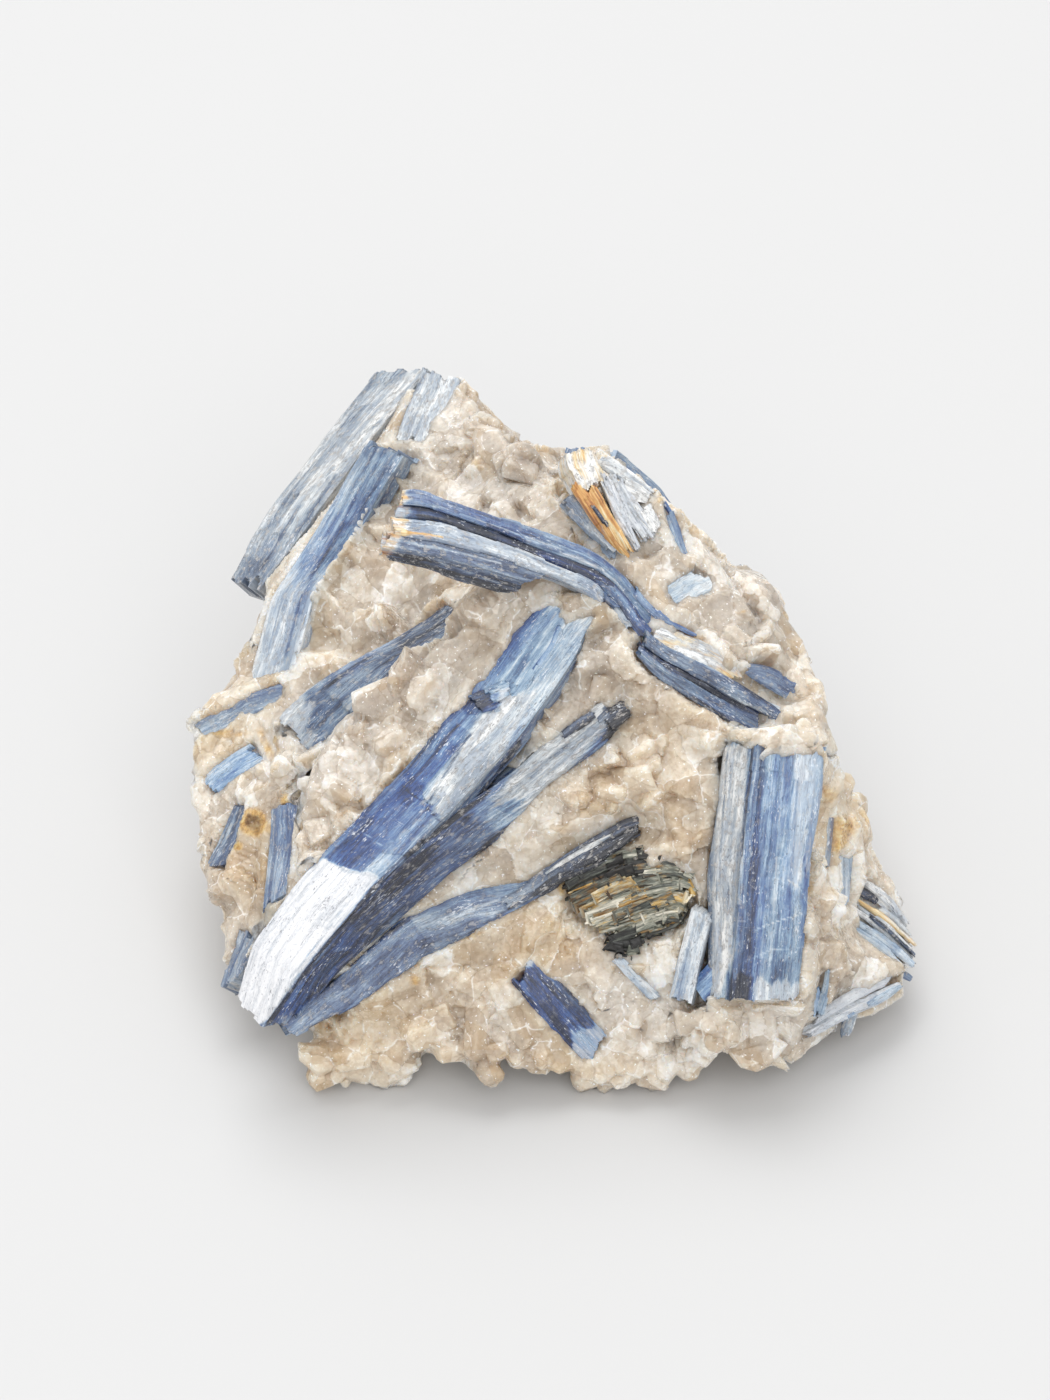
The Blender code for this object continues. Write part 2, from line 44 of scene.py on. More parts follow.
SHEET_MID = (525.0, 700.0)
EYE_MM = 330.0
LEAN = math.radians(45.0)
MID_HEIGHT_MM = 29.0
SIN, COS = math.sin(LEAN), math.cos(LEAN)
TO_EYE = Vector((0.0, -COS, SIN))


def S(px, py, w=0.0):
    """A point of the layout sheet, w mm in front of it, in mm."""
    k = (EYE_MM - w) / EYE_MM
    u = (px - SHEET_MID[0]) / UNITS_PER_MM * k
    v = (SHEET_MID[1] - py) / UNITS_PER_MM * k
    return Vector((u, v * SIN - w * COS, MID_HEIGHT_MM + v * COS + w * SIN))


def W(x, y, z):
    return Vector((x, y, z))


def to_sheet(p):
    """Sheet coordinates (px, py, w) of points given in mm, as an array."""
    x, y, z = p[:, 0], p[:, 1], p[:, 2] - MID_HEIGHT_MM
    v = y * SIN + z * COS
    w = -y * COS + z * SIN
    k = EYE_MM / (EYE_MM - w)
    return np.stack([SHEET_MID[0] + x * UNITS_PER_MM * k, SHEET_MID[1] - v * UNITS_PER_MM * k, w], 1)


# ---------------------------------------------------------------- the quartz lump
BLOCKS = {
    "front": [
        S(519, 577, -1), S(565, 574, -1), S(640, 640, -0.6), S(655, 690, 0), S(722, 735, 0.7),
        S(720, 800, 0.8), S(702, 900, -0.2), S(690, 1000, -1.8), S(640, 1060, -4.5), S(560, 1052, -4),
        S(480, 1045, -3.5), S(400, 1055, -4), S(330, 1060, -5), S(302, 1030, -4), S(292, 960, -3),
        S(300, 860, -2.5), S(305, 790, -3), S(342, 735, -2.5), S(387, 684, -2), S(430, 657, -1.5),
        S(480, 614, -1),
        W(-13, -12, -1), W(16, -12, -1), W(18, 20, -1), W(-14, 20, -1), W(-12, 22, 20), W(12, 20, 28),
    ],
    "upper_left": [
        S(455, 387, -23), S(500, 427, -18), S(545, 467, -13), S(578, 512, -8), S(600, 560, -5),
        S(520, 582, -7), S(460, 622, -9), S(380, 655, -11), S(330, 702, -12), S(292, 748, -12),
        S(262, 700, -16), S(258, 640, -18), S(300, 545, -20), S(360, 445, -23), S(400, 395, -24),
        W(-20, 30, 3), W(-24, 26, 14), W(-12, 36, 24), W(4, 34, 24), W(10, 30, 4), W(-16, 12, 4),
    ],
    "upper_right": [
        S(610, 480, -4.6), S(650, 500, -4.2), S(690, 527, -5.6), S(715, 562, -6.5), S(745, 580, -7.5),
        S(775, 614, -8), S(800, 642, -7.5), S(812, 667, -6.5), S(818, 700, -4), S(824, 742, -1),
        S(720, 740, 0.5), S(650, 650, -0.6), S(625, 567, -1.2), S(600, 542, -1.8), S(570, 502, -4.5),
        W(22, 22, 2), W(23, 23, 18), W(6, 28, 33), W(14, 4, 3),
    ],
    "left": [
        S(194, 737, -15.5), S(207, 702, -17), S(252, 642, -18), S(292, 702, -13), S(305, 762, -9),
        S(302, 830, -6), S(292, 900, -5), S(264, 923, -6.5), S(262, 958, -7.5), S(242, 974, -9.2), S(240, 932, -8.5), S(207, 888, -11.5),
        S(202, 850, -12.5), S(197, 790, -14.5),
        W(-16, 8, 1.5), W(-22, 16, 5), W(-14, -4, 1.5), W(-25, 17, 14),
    ],
    "right_foot": [
        S(815, 762, -1.5), S(836, 797, -6), S(850, 815, -9.5), S(855, 860, -10.5), S(880, 888, -12.5),
        S(903, 915, -12.5), S(911, 945, -12), S(908, 968, -11), S(890, 988, -10), S(848, 1014, -9),
        S(800, 1036, -6.5), S(762, 1066, -6), S(730, 1050, -5), S(715, 1000, -1.2), S(800, 985, -0.2),
        W(26, 6, 3), W(27, 10, 12), W(14, -8, 0.5),
    ],
    "back": [
        W(-18, 34, 8), W(-8, 38, 20), W(6, 36, 22), W(16, 31, 12), W(14, 30, -1), W(-12, 31, -1),
        W(-4, 10, -1), W(-10, 30, 28), W(8, 26, 33), W(20, 24, 20),
    ],
}

# Coarse crystals of the lump that stand out of it: centre, half sizes in mm, turn in degrees.
LUMPS = [
    (S(338, 1052, -6), (3.2, 2.2, 2.4), 20),
    (S(385, 1066, -7), (2.4, 1.9, 2.6), -35),
    (S(435, 1036, -4.5), (3.4, 2.1, 2.0), 10),
    (S(478, 1048, -4.5), (1.8, 2.9, 2.0), 40),
    (S(545, 1052, -5.5), (2.6, 1.9, 2.6), 0),
    (S(610, 1070, -6.5), (2.4, 1.6, 2.2), 15),
    (S(652, 1068, -6.5), (2.0, 1.9, 2.4), -25),
    (S(695, 1052, -5.5), (2.2, 1.7, 2.0), 30),
    (S(760, 1052, -5), (2.2, 2.0, 2.2), -15),
    (S(222, 895, -11), (1.9, 1.7, 1.8), 10),
    (S(285, 770, -10), (1.7, 2.6, 2.0), 5),
    (S(205, 720, -16), (1.8, 1.8, 2.2), 0),
    (S(745, 610, -8), (3.4, 2.6, 3.0), 25),
    (S(790, 690, -6.5), (2.6, 3.0, 2.6), 10),
    (S(520, 470, -14), (3.0, 2.4, 3.0), -35),
    (S(850, 830, -9.5), (1.6, 2.4, 2.0), 5),
]


def cell_noise(points, size, seed):
    """Cellular noise: for each point the nearest and second distances, the nearest centre,
    and a random number and a random direction that belong to it."""
    rng = np.random.default_rng(seed)
    n = 64
    jitter = rng.random((n, n, n, 3))
    value = rng.random((n, n, n))
    turn = rng.normal(size=(n, n, n, 3))
    p = points / size + n / 2
    base = np.floor(p).astype(int)
    f1 = np.full(len(p), 1e9)
    f2 = np.full(len(p), 1e9)
    centre = np.zeros_like(p)
    own = np.zeros((len(p), 3), int)
    for dx in (-1, 0, 1):
        for dy in (-1, 0, 1):
            for dz in (-1, 0, 1):
                c = (base + (dx, dy, dz)) % n
                s = base + (dx, dy, dz) + jitter[c[:, 0], c[:, 1], c[:, 2]]
                d = np.linalg.norm(p - s, axis=1)
                closer = d < f1
                f2 = np.where(closer, f1, np.minimum(f2, d))
                f1 = np.where(closer, d, f1)
                centre[closer] = s[closer]
                own[closer] = c[closer]
    k = (own[:, 0], own[:, 1], own[:, 2])
    direction = turn[k] / np.linalg.norm(turn[k], axis=1)[:, None]
    return f1 * size, f2 * size, (centre - n / 2) * size, value[k], direction



def lump_corners(centre, half, turn, seed):
    """A blunt many-sided crystal: points spread over a sphere, stretched and turned."""
    rng = np.random.default_rng(seed)
    a = math.radians(turn)
    corners = []
    for i in range(16):
        z = 1 - 2 * (i + 0.5) / 16
        r = math.sqrt(1 - z * z)
        t = i * 2.39996 + rng.random() * 0.8
        q = Vector((r * math.cos(t) * half[0], r * math.sin(t) * half[1], z * half[2])) * (0.85 + 0.3 * rng.random())
        # q runs right, up the sheet and out of it
        right, up = q.x * math.cos(a) - q.y * math.sin(a), q.x * math.sin(a) + q.y * math.cos(a)
        corners.append(centre + Vector((right, up * SIN - q.z * COS, up * COS + q.z * SIN)))
    return corners



# ---------------------------------------------------------------- the blades
FLAT = [(0.0, 0.30), (0.07, 0.0), (0.93, 0.0), (1.0, 0.30), (1.0, 0.75), (0.9, 1.0), (0.1, 1.0), (0.0, 0.75)]
THIN = [(0.0, 0.35), (0.12, 0.0), (0.88, 0.0), (1.0, 0.35), (1.0, 0.6), (0.85, 1.0), (0.15, 1.0), (0.0, 0.6)]

CRYSTALS = {
    "front_blade_sheaf": [
        (FLAT, 3.0, [
            (S(236, 1000, -0.5), S(262, 1028, 0.5)), (S(250, 945, 0.0), S(300, 970, 2.2)),
            (S(297, 880, 0.2), S(348, 915, 2.8)), (S(345, 830, 0.2), S(402, 860, 2.8)),
            (S(403, 768, 0.0), S(455, 805, 2.6)), (S(465, 697, -0.2), S(520, 735, 2.2)),
            (S(515, 628, -0.5), S(572, 660, 1.6)), (S(552, 585, -1.2), S(598, 612, 0.6))]),
        (FLAT, 2.6, [
            (S(264, 1025, 0.0), S(284, 1034, -0.8)), (S(300, 972, 1.9), S(340, 972, -0.6)),
            (S(348, 917, 2.4), S(402, 920, -0.6)), (S(402, 862, 2.4), S(455, 872, -0.6)),
            (S(455, 812, 1.6), S(502, 838, -0.6)), (S(510, 775, 0.6), S(545, 788, -0.8)),
            (S(565, 727, 0.2), S(603, 748, -1.0)), (S(612, 697, -0.6), S(636, 712, -1.6))]),
        (THIN, 1.8, [
            (S(279, 1026, -0.8), S(288, 1040, -1.2)), (S(338, 978, -1.3), S(360, 1003, -1.6)),
            (S(400, 920, -1.4), S(420, 962, -1.8)), (S(466, 890, -2.0), S(480, 930, -2.0)),
            (S(525, 880, -2.1), S(535, 902, -2.1)), (S(585, 848, -2.1), S(595, 862, -2.2)),
            (S(634, 824, -2.0), S(644, 833, -2.2))]),
    ],
    "bent_blade": [
        (FLAT, 2.6, [
            (S(397, 489, 0.3), S(381, 550, 2.6)), (S(440, 497, 0.9), S(424, 566, 3.0)),
            (S(500, 516, 1.2), S(484, 588, 2.8)), (S(560, 536, 1.0), S(545, 588, 2.0)),
            (S(606, 556, 0.5), S(590, 592, 1.4)), (S(632, 580, 0.0), S(614, 606, 1.0)),
            (S(650, 606, -0.4), S(630, 628, 0.8)), (S(664, 634, -0.8), S(640, 652, 0.6))]),
        (FLAT, 2.4, [
            (S(643, 624, -0.5), S(632, 652, 0.7)), (S(672, 650, -0.2), S(660, 684, 1.0)),
            (S(705, 662, -0.3), S(698, 706, 1.1)), (S(745, 682, -1.2), S(738, 732, 0.5)),
            (S(784, 703, -2.2), S(768, 738, -0.6))]),
    ],
    "upper_left_blade": [
        (FLAT, 2.6, [
            (S(368, 440, -19.5), S(404, 448, -17)), (S(318, 525, -19), S(350, 540, -15.8)),
            (S(270, 600, -18), S(312, 592, -14.8)), (S(245, 692, -16.5), S(286, 690, -13.3))]),
    ],
    "far_left_blade": [
        (FLAT, 3.2, [
            (S(375, 370, -25.5), S(430, 368, -23.5)), (S(320, 440, -25.5), S(375, 430, -22.5)),
            (S(268, 508, -25), S(328, 494, -21.5)), (S(228, 580, -24), S(258, 590, -20.8))]),
        (THIN, 2.2, [
            (S(422, 367, -23.2), S(462, 380, -21.8)), (S(394, 440, -20.6), S(421, 447, -19.2))]),
    ],
    "left_ledge_blade": [
        (FLAT, 2.2, [
            (S(442, 603, -7.2), S(460, 612, -5.8)), (S(400, 634, -8.2), S(440, 642, -5.6)),
            (S(350, 661, -9.2), S(400, 668, -6.6)), (S(318, 682, -9.7), S(362, 706, -7.2)),
            (S(288, 706, -10.4), S(326, 740, -8.3)), (S(276, 724, -10.8), S(304, 753, -9.3))]),
    ],
    "pale_left_blade": [
        (FLAT, 2.6, [
            (S(202, 776, -14.8), S(208, 799, -13.6)), (S(226, 755, -13.6), S(238, 778, -12.4)),
            (S(252, 740, -12.8), S(268, 758, -11.6))]),
    ],
    "grey_left_blade": [
        (FLAT, 2.2, [
            (S(284, 681, -13.8), S(292, 699, -12.6)), (S(240, 695, -15.2), S(248, 718, -14.0)),
            (S(191, 724, -16.4), S(196, 745, -15.4))]),
    ],
    "left_lower_blade": [
        (FLAT, 2.0, [
            (S(272, 803, -8.7), S(298, 803, -6.8)), (S(267, 860, -7.6), S(295, 850, -5.7)),
            (S(262, 915, -6.4), S(284, 898, -4.4))]),
    ],
    "left_outer_blade": [
        (FLAT, 2.0, [
            (S(236, 803, -11.8), S(252, 797, -10.4)), (S(203, 872, -12.0), S(226, 868, -10.0))]),
    ],
    "left_tail_blade": [
        (THIN, 1.7, [
            (S(240, 922, -8.8), S(262, 932, -6.2)), (S(219, 990, -8.4), S(233, 986, -6.8))]),
    ],
    "deep_blue_blade": [
        (FLAT, 2.6, [
            (S(507, 980, -2.2), S(533, 957, -2.0)), (S(540, 1020, -2.8), S(573, 993, -2.4)),
            (S(583, 1063, -4.4), S(619, 1047, -3.8))]),
    ],
    "upright_blade": [
        (FLAT, 3.3, [
            (S(756, 742, 2.4), S(826, 747, 0.8)), (S(748, 800, 3.0), S(820, 800, 1.5)),
            (S(742, 870, 3.0), S(810, 868, 1.7)), (S(736, 940, 2.6), S(804, 940, 1.5)),
            (S(730, 1002, 2.0), S(800, 1002, 0.9))]),
        (FLAT, 2.6, [
            (S(724, 742, 0.4), S(760, 742, 2.3)), (S(717, 800, 0.2), S(753, 800, 2.8)),
            (S(706, 870, 0.0), S(747, 870, 2.8)), (S(707, 940, -0.2), S(741, 940, 2.4)),
            (S(704, 1000, -0.6), S(735, 1002, 1.8))]),
    ],
    "small_pale_blade": [
        (THIN, 1.7, [
            (S(692, 906, 0.4), S(711, 917, 0.9)), (S(668, 1000, -0.8), S(690, 1006, -0.2))]),
    ],
    "blue_chip": [
        (THIN, 1.1, [
            (S(716, 954, 0.2), S(733, 964, 0.7)), (S(690, 984, -0.8), S(702, 1003, -0.4))]),
    ],
    "thin_sliver": [
        (THIN, 1.1, [
            (S(611, 962, -2.2), S(620, 956, -2.0)), (S(650, 1004, -3.1), S(666, 1000, -2.7))]),
    ],
    "rusty_top_blade": [
        (FLAT, 3.6, [
            (S(562, 462, -1.5), S(600, 453, -3.2)), (S(570, 495, -0.8), S(640, 485, -3.2)),
            (S(600, 528, -0.6), S(656, 515, -2.8)), (S(633, 561, -0.8), S(668, 556, -2.2))]),
    ],
    "top_edge_blade": [
        (THIN, 1.6, [
            (S(660, 495, -3.2), S(671, 496, -3.8)), (S(667, 525, -2.8), S(680, 520, -3.6)),
            (S(683, 560, -2.7), S(692, 561, -3.3))]),
    ],
    "speckled_sliver": [
        (THIN, 1.3, [
            (S(563, 507, -3.4), S(572, 499, -3.0)), (S(610, 562, -1.5), S(622, 558, -1.2))]),
    ],
    "glassy_blade": [
        (THIN, 1.6, [
            (S(655, 592, -0.8), S(674, 612, -0.7)), (S(700, 564, -3.2), S(724, 584, -3.4))]),
    ],
    "right_fragment": [
        (THIN, 1.3, [
            (S(745, 664, -3.4), S(750, 680, -3.0)), (S(792, 676, -5.4), S(802, 697, -4.6))]),
    ],
    "right_foot_blade": [
        (FLAT, 3.0, [
            (S(862, 872, -11.2), S(843, 920, -8.0)), (S(905, 912, -12.4), S(892, 962, -9.4)),
            (S(919, 945, -12), S(914, 970, -10.6))]),
    ],
    "right_edge_blade": [
        (FLAT, 2.2, [
            (S(801, 1014, -4.2), S(797, 1038, -5.0)), (S(850, 986, -6.6), S(850, 1016, -7.6)),
            (S(904, 972, -9.6), S(908, 986, -10.2))]),
        (THIN, 1.2, [
            (S(834, 1000, -7.0), S(858, 1003, -7.5)), (S(842, 1041, -8.4), S(851, 1040, -8.6))]),
    ],
    "right_grey_blade": [
        (THIN, 1.5, [
            (S(834, 852, -7.2), S(856, 850, -9.4)), (S(838, 910, -6.6), S(851, 906, -8.2))]),
    ],
    "brown_sliver": [
        (THIN, 1.1, [
            (S(828, 812, -4.4), S(837, 812, -5.4)), (S(823, 872, -4.2), S(830, 874, -5.2))]),
    ],
    "small_blue_blade": [
        (THIN, 1.1, [
            (S(820, 968, -3.4), S(832, 965, -3.9)), (S(811, 1016, -4.0), S(823, 1013, -4.5))]),
    ],
    "altered_book": [
        (FLAT, 2.0, [
            (S(559, 889, -2.6), S(572, 912, -2.6)), (S(600, 880, -2.0), S(602, 937, -2.8)),
            (S(642, 867, -1.5), S(640, 943, -2.6)), (S(680, 868, -1.2), S(676, 926, -1.8)),
            (S(698, 880, -1.0), S(694, 902, -1.4))]),
    ],
    "back_long_blade": [
        (FLAT, 2.8, [
            (W(-15.2, 33.6, 26.2), W(-17.8, 33.4, 21.4)), (W(-6.6, 37.6, 21.6), W(-9.4, 37.4, 16.6)),
            (W(3.2, 37.4, 15.8), W(0.6, 36.8, 11.0)), (W(12.4, 35.4, 9.4), W(10.4, 34.8, 5.6))], W(0, 1, 0)),
    ],
    "back_cross_blade": [
        (FLAT, 2.4, [
            (W(3.6, 34.2, 27.6), W(8.4, 32.6, 28.6)), (W(7.6, 35.0, 22.4), W(12.4, 33.2, 23.6)),
            (W(11.6, 35.0, 16.0), W(16.2, 32.6, 17.4)), (W(14.6, 33.2, 9.6), W(18.4, 30.8, 11.0))], W(0.3, 1, 0.2)),
    ],
    "back_low_blade": [
        (FLAT, 2.2, [
            (W(-17.4, 31.6, 9.4), W(-16.8, 31.0, 5.4)), (W(-9.0, 34.6, 8.2), W(-8.8, 34.0, 4.0)),
            (W(-1.0, 34.6, 6.2), W(-1.2, 33.8, 2.6))], W(0, 1, 0)),
    ],
    "left_rear_blade": [
        (FLAT, 2.4, [
            (W(-24.0, 15.6, 9.6), W(-22.0, 14.6, 5.0)), (W(-24.4, 22.0, 13.0), W(-23.2, 23.2, 8.4)),
            (W(-22.6, 28.6, 15.8), W(-22.4, 29.8, 11.6))], W(-1, 0, 0)),
    ],
    "right_side_blade": [
        (FLAT, 2.6, [
            (W(25.6, 0.6, 25.8), W(27.0, -0.6, 21.4)), (W(25.9, 8.0, 22.6), W(26.0, 6.4, 17.6)),
            (W(24.9, 16.0, 18.6), W(24.7, 14.6, 14.2))], W(1, 0, 0)),
    ],
    "right_rear_blade": [
        (FLAT, 2.2, [
            (W(22.4, 20.6, 22.2), W(19.6, 25.0, 21.6)), (W(23.6, 20.8, 14.0), W(20.6, 25.6, 13.4)),
            (W(24.0, 19.6, 6.0), W(21.4, 23.8, 5.6))], W(1, 0.5, 0)),
    ],
}


# ---------------------------------------------------------------- helpers
def smooth01(x):
    x = np.clip(x, 0, 1)
    return x * x * (3 - 2 * x)


def noise2(x, y, seed, octaves=4, gain=0.5):
    """Smooth noise between 0 and 1 over two coordinates."""
    x, y = np.broadcast_arrays(np.asarray(x, float), np.asarray(y, float))
    total, weight, w = np.zeros(x.shape), 0.0, 1.0
    for o in range(octaves):
        a, b = x * 2 ** o + 17.3 * o, y * 2 ** o - 9.1 * o
        ia, ib = np.floor(a).astype(np.int64), np.floor(b).astype(np.int64)
        fa, fb = a - ia, b - ib
        fa, fb = fa * fa * (3 - 2 * fa), fb * fb * (3 - 2 * fb)

        def corner(i, j):
            n = (i * 374761393 + j * 668265263 + (seed * 31 + o) * 974711) & 0xffffffff
            n = ((n ^ (n >> 13)) * 1274126177) & 0xffffffff
            return ((n ^ (n >> 16)) & 0xffff) / 65535.0

        low = corner(ia, ib) * (1 - fa) + corner(ia + 1, ib) * fa
        high = corner(ia, ib + 1) * (1 - fa) + corner(ia + 1, ib + 1) * fa
        total += w * (low * (1 - fb) + high * fb)
        weight += w
        w *= gain
    return total / weight


def plane_noise(points, size, seed):
    """Continuous noise between 0 and 1 made of flat facets about size mm across."""
    rng = np.random.default_rng(900 + seed)
    q, r = np.linalg.qr(rng.normal(size=(3, 3)))
    p = points @ q / size + 57.3 + rng.uniform(0, 9, 3)
    i = np.floor(p).astype(np.int64)
    f = p - i
    order = np.argsort(-f, axis=1)
    f = np.take_along_axis(f, order, 1)
    weights = [1 - f[:, 0], f[:, 0] - f[:, 1], f[:, 1] - f[:, 2], f[:, 2]]
    total = np.zeros(len(points))
    rows = np.arange(len(points))
    for k in range(4):
        n = (i[:, 0] * 374761393 + i[:, 1] * 668265263 + i[:, 2] * 2147483647 + seed * 974711) & 0xffffffff
        n = ((n ^ (n >> 13)) * 1274126177) & 0xffffffff
        total += weights[k] * (((n ^ (n >> 16)) & 0xffff) / 65535.0)
        if k < 3:
            i[rows, order[:, k]] += 1
    return total


def new_object(name, verts, faces, smooth=False):
    mesh = bpy.data.meshes.new(name)
    mesh.from_pydata([tuple(v) for v in verts], [], faces)
    if smooth:
        mesh.polygons.foreach_set("use_smooth", [True] * len(mesh.polygons))
    mesh.update()
    obj = bpy.data.objects.new(name, mesh)
    bpy.context.scene.collection.objects.link(obj)
    return obj


def attribute(mesh, name, values):
    a = mesh.attributes.new(name, "FLOAT", "POINT")
    a.data.foreach_set("value", np.asarray(values, dtype=np.float32))


def blade_frames(slab, step=0.7):
    """Samples one blade along its length: left edge, right edge, outward normal, run (mm)."""
    profile, thick, stations, *facing = slab
    facing = np.array((facing or [TO_EYE])[0][:], float)
    left = np.array([a[:] for a, b in stations], float)
    right = np.array([b[:] for a, b in stations], float)
    mid = (left + right) / 2
    run = np.concatenate([[0], np.cumsum(np.linalg.norm(np.diff(mid, axis=0), axis=1))])
    n = max(4, int(run[-1] / step) + 1)
    s = np.linspace(0, run[-1], n)
    L = np.stack([np.interp(s, run, left[:, i]) for i in range(3)], 1)
    R = np.stack([np.interp(s, run, right[:, i]) for i in range(3)], 1)
    if len(stations) > 2:
        k = max(1, min(int(1.2 / (s[1] - s[0])), (n - 1) // 2))
        for A in (L, R):
            ends = A[0].copy(), A[-1].copy()
            pad = np.concatenate([2 * A[0] - A[1:k + 1][::-1], A, 2 * A[-1] - A[-k - 1:-1][::-1]])
            A[:] = np.stack([np.convolve(pad[:, i], np.ones(2 * k + 1) / (2 * k + 1), "valid") for i in range(3)], 1)
            A[0], A[-1] = ends
    M = (L + R) / 2
    D = np.gradient(M, axis=0)
    D /= np.linalg.norm(D, axis=1)[:, None]
    N = np.cross(R - L, D)
    N /= np.linalg.norm(N, axis=1)[:, None]
    N *= np.where((N @ facing) < 0, -1.0, 1.0)[:, None]
    return s, L, R, N, D


def mesh_arrays(mesh):
    co = np.empty(len(mesh.vertices) * 3)
    mesh.vertices.foreach_get("co", co)
    no = np.empty(len(mesh.vertices) * 3)
    mesh.vertices.foreach_get("normal", no)
    return co.reshape(-1, 3) * 1000, no.reshape(-1, 3)


# ---------------------------------------------------------------- quartz
def in_blades(points, grow=0.0):
    """For points near blades: how deep under the blade's upper face (mm, negative above it),
    the blade's thickness and the outward normal; nan where no blade is."""
    depth = np.full(len(points), np.nan)
    thick_at = np.zeros(len(points))
    normal = np.zeros((len(points), 3))
    for slabs in CRYSTALS.values():
        for slab in slabs:
            thick = slab[1]
            s, L, R, N, D = blade_frames(slab, 0.5)
            lo = np.minimum(L, R).min(0) - 6
            hi = np.maximum(L, R).max(0) + 6
            near = np.where(((points > lo) & (points < hi)).all(1))[0]
            if not len(near):
                continue
            P = points[near]
            M = (L + R) / 2
            for a in range(0, len(near), 20000):
                idx = near[a:a + 20000]
                Q = points[idx]
                k = np.argmin(((Q[:, None, :] - M[None]) ** 2).sum(2), 1)
                rel = Q - L[k]
                across = R[k] - L[k]
                width = np.linalg.norm(across, axis=1)
                unit = across / width[:, None]
                d = -(rel * N[k]).sum(1)
                u = (rel * unit).sum(1)
                along = (rel * D[k]).sum(1) - u * (unit * D[k]).sum(1)
                inside = (u > -grow) & (u < width + grow) & (d < thick) & (d > -5)
                ends = (k == 0) & (along < -grow) | (k == len(M) - 1) & (along > grow)
                inside &= ~ends
                old = depth[idx]
                better = inside & (np.isnan(old) | (d < old))
                depth[idx] = np.where(better, d, old)
                thick_at[idx] = np.where(better, thick, thick_at[idx])
                normal[idx] = np.where(better[:, None], N[k], normal[idx])
    return depth, thick_at, normal


# How far (mm) the quartz laps over each blade's left edge, right edge, first end and last
# end. A negative number leaves that edge standing free of the quartz.
LAP = {
    "front_blade_sheaf": [(0.7, 0.5, 0.0, 3.4), (0.5, 0.5, 0.0, 1.6), (0.3, 0.3, 0.0, 0.8)],
    "bent_blade": [(0.0, 0.0, -1, 0.0), (0.5, 0.5, 0.0, 1.8)],
    "upper_left_blade": [(0.5, 0.8, 1.0, 1.8)],
    "far_left_blade": [(-1, 0.4, -1, -1), (0.3, 0.6, 0.0, 0.6)],
    "left_ledge_blade": [(0.0, 0.4, 0.2, 0.8)],
    "back_long_blade": [(0.6, 1.0, 0.3, 2.2)],
    "back_cross_blade": [(1.0, 0.4, 1.8, 0.6)],
    "back_low_blade": [(0.9, 0.6, 1.3, 0.8)],
    "left_rear_blade": [(0.7, 0.5, 0.4, 1.7)],
    "right_side_blade": [(0.5, 0.9, 0.4, 2.0)],
    "right_rear_blade": [(0.6, 1.0, 1.5, 0.5)],
    "thin_sliver": [(0.15, 0.15, 0.1, 0.1)],
    "small_pale_blade": [(0.2, 0.0, 0.1, 0.2)],
    "pale_left_blade": [(0.1, 0.2, 0.0, 0.3)],
    "grey_left_blade": [(0.8, 1.0, 0.8, 0.6)],
    "left_lower_blade": [(0.5, 0.5, 0.9, 1.0)],
    "left_outer_blade": [(0.3, 0.8, 0.8, 0.8)],
    "left_tail_blade": [(0.3, 0.6, 0.8, 0.3)],
    "deep_blue_blade": [(0.5, 0.6, 0.9, 1.2)],
    "upright_blade": [(0.0, 0.5, 1.0, 0.9), (-1, 0.0, 1.0, 0.5)],
    "glassy_blade": [(0.9, 0.9, 0.9, 0.9)],
    "rusty_top_blade": [(0.4, 0.4, -1, 0.8)],
    "altered_book": [(0.0, 0.0, 0.0, 0.0)],
    "right_foot_blade": [(0.2, 0.3, 0.2, -1)],
    "right_edge_blade": [(0.3, 0.2, 0.4, -1), (0.2, 0.2, 0.2, -1)],
}


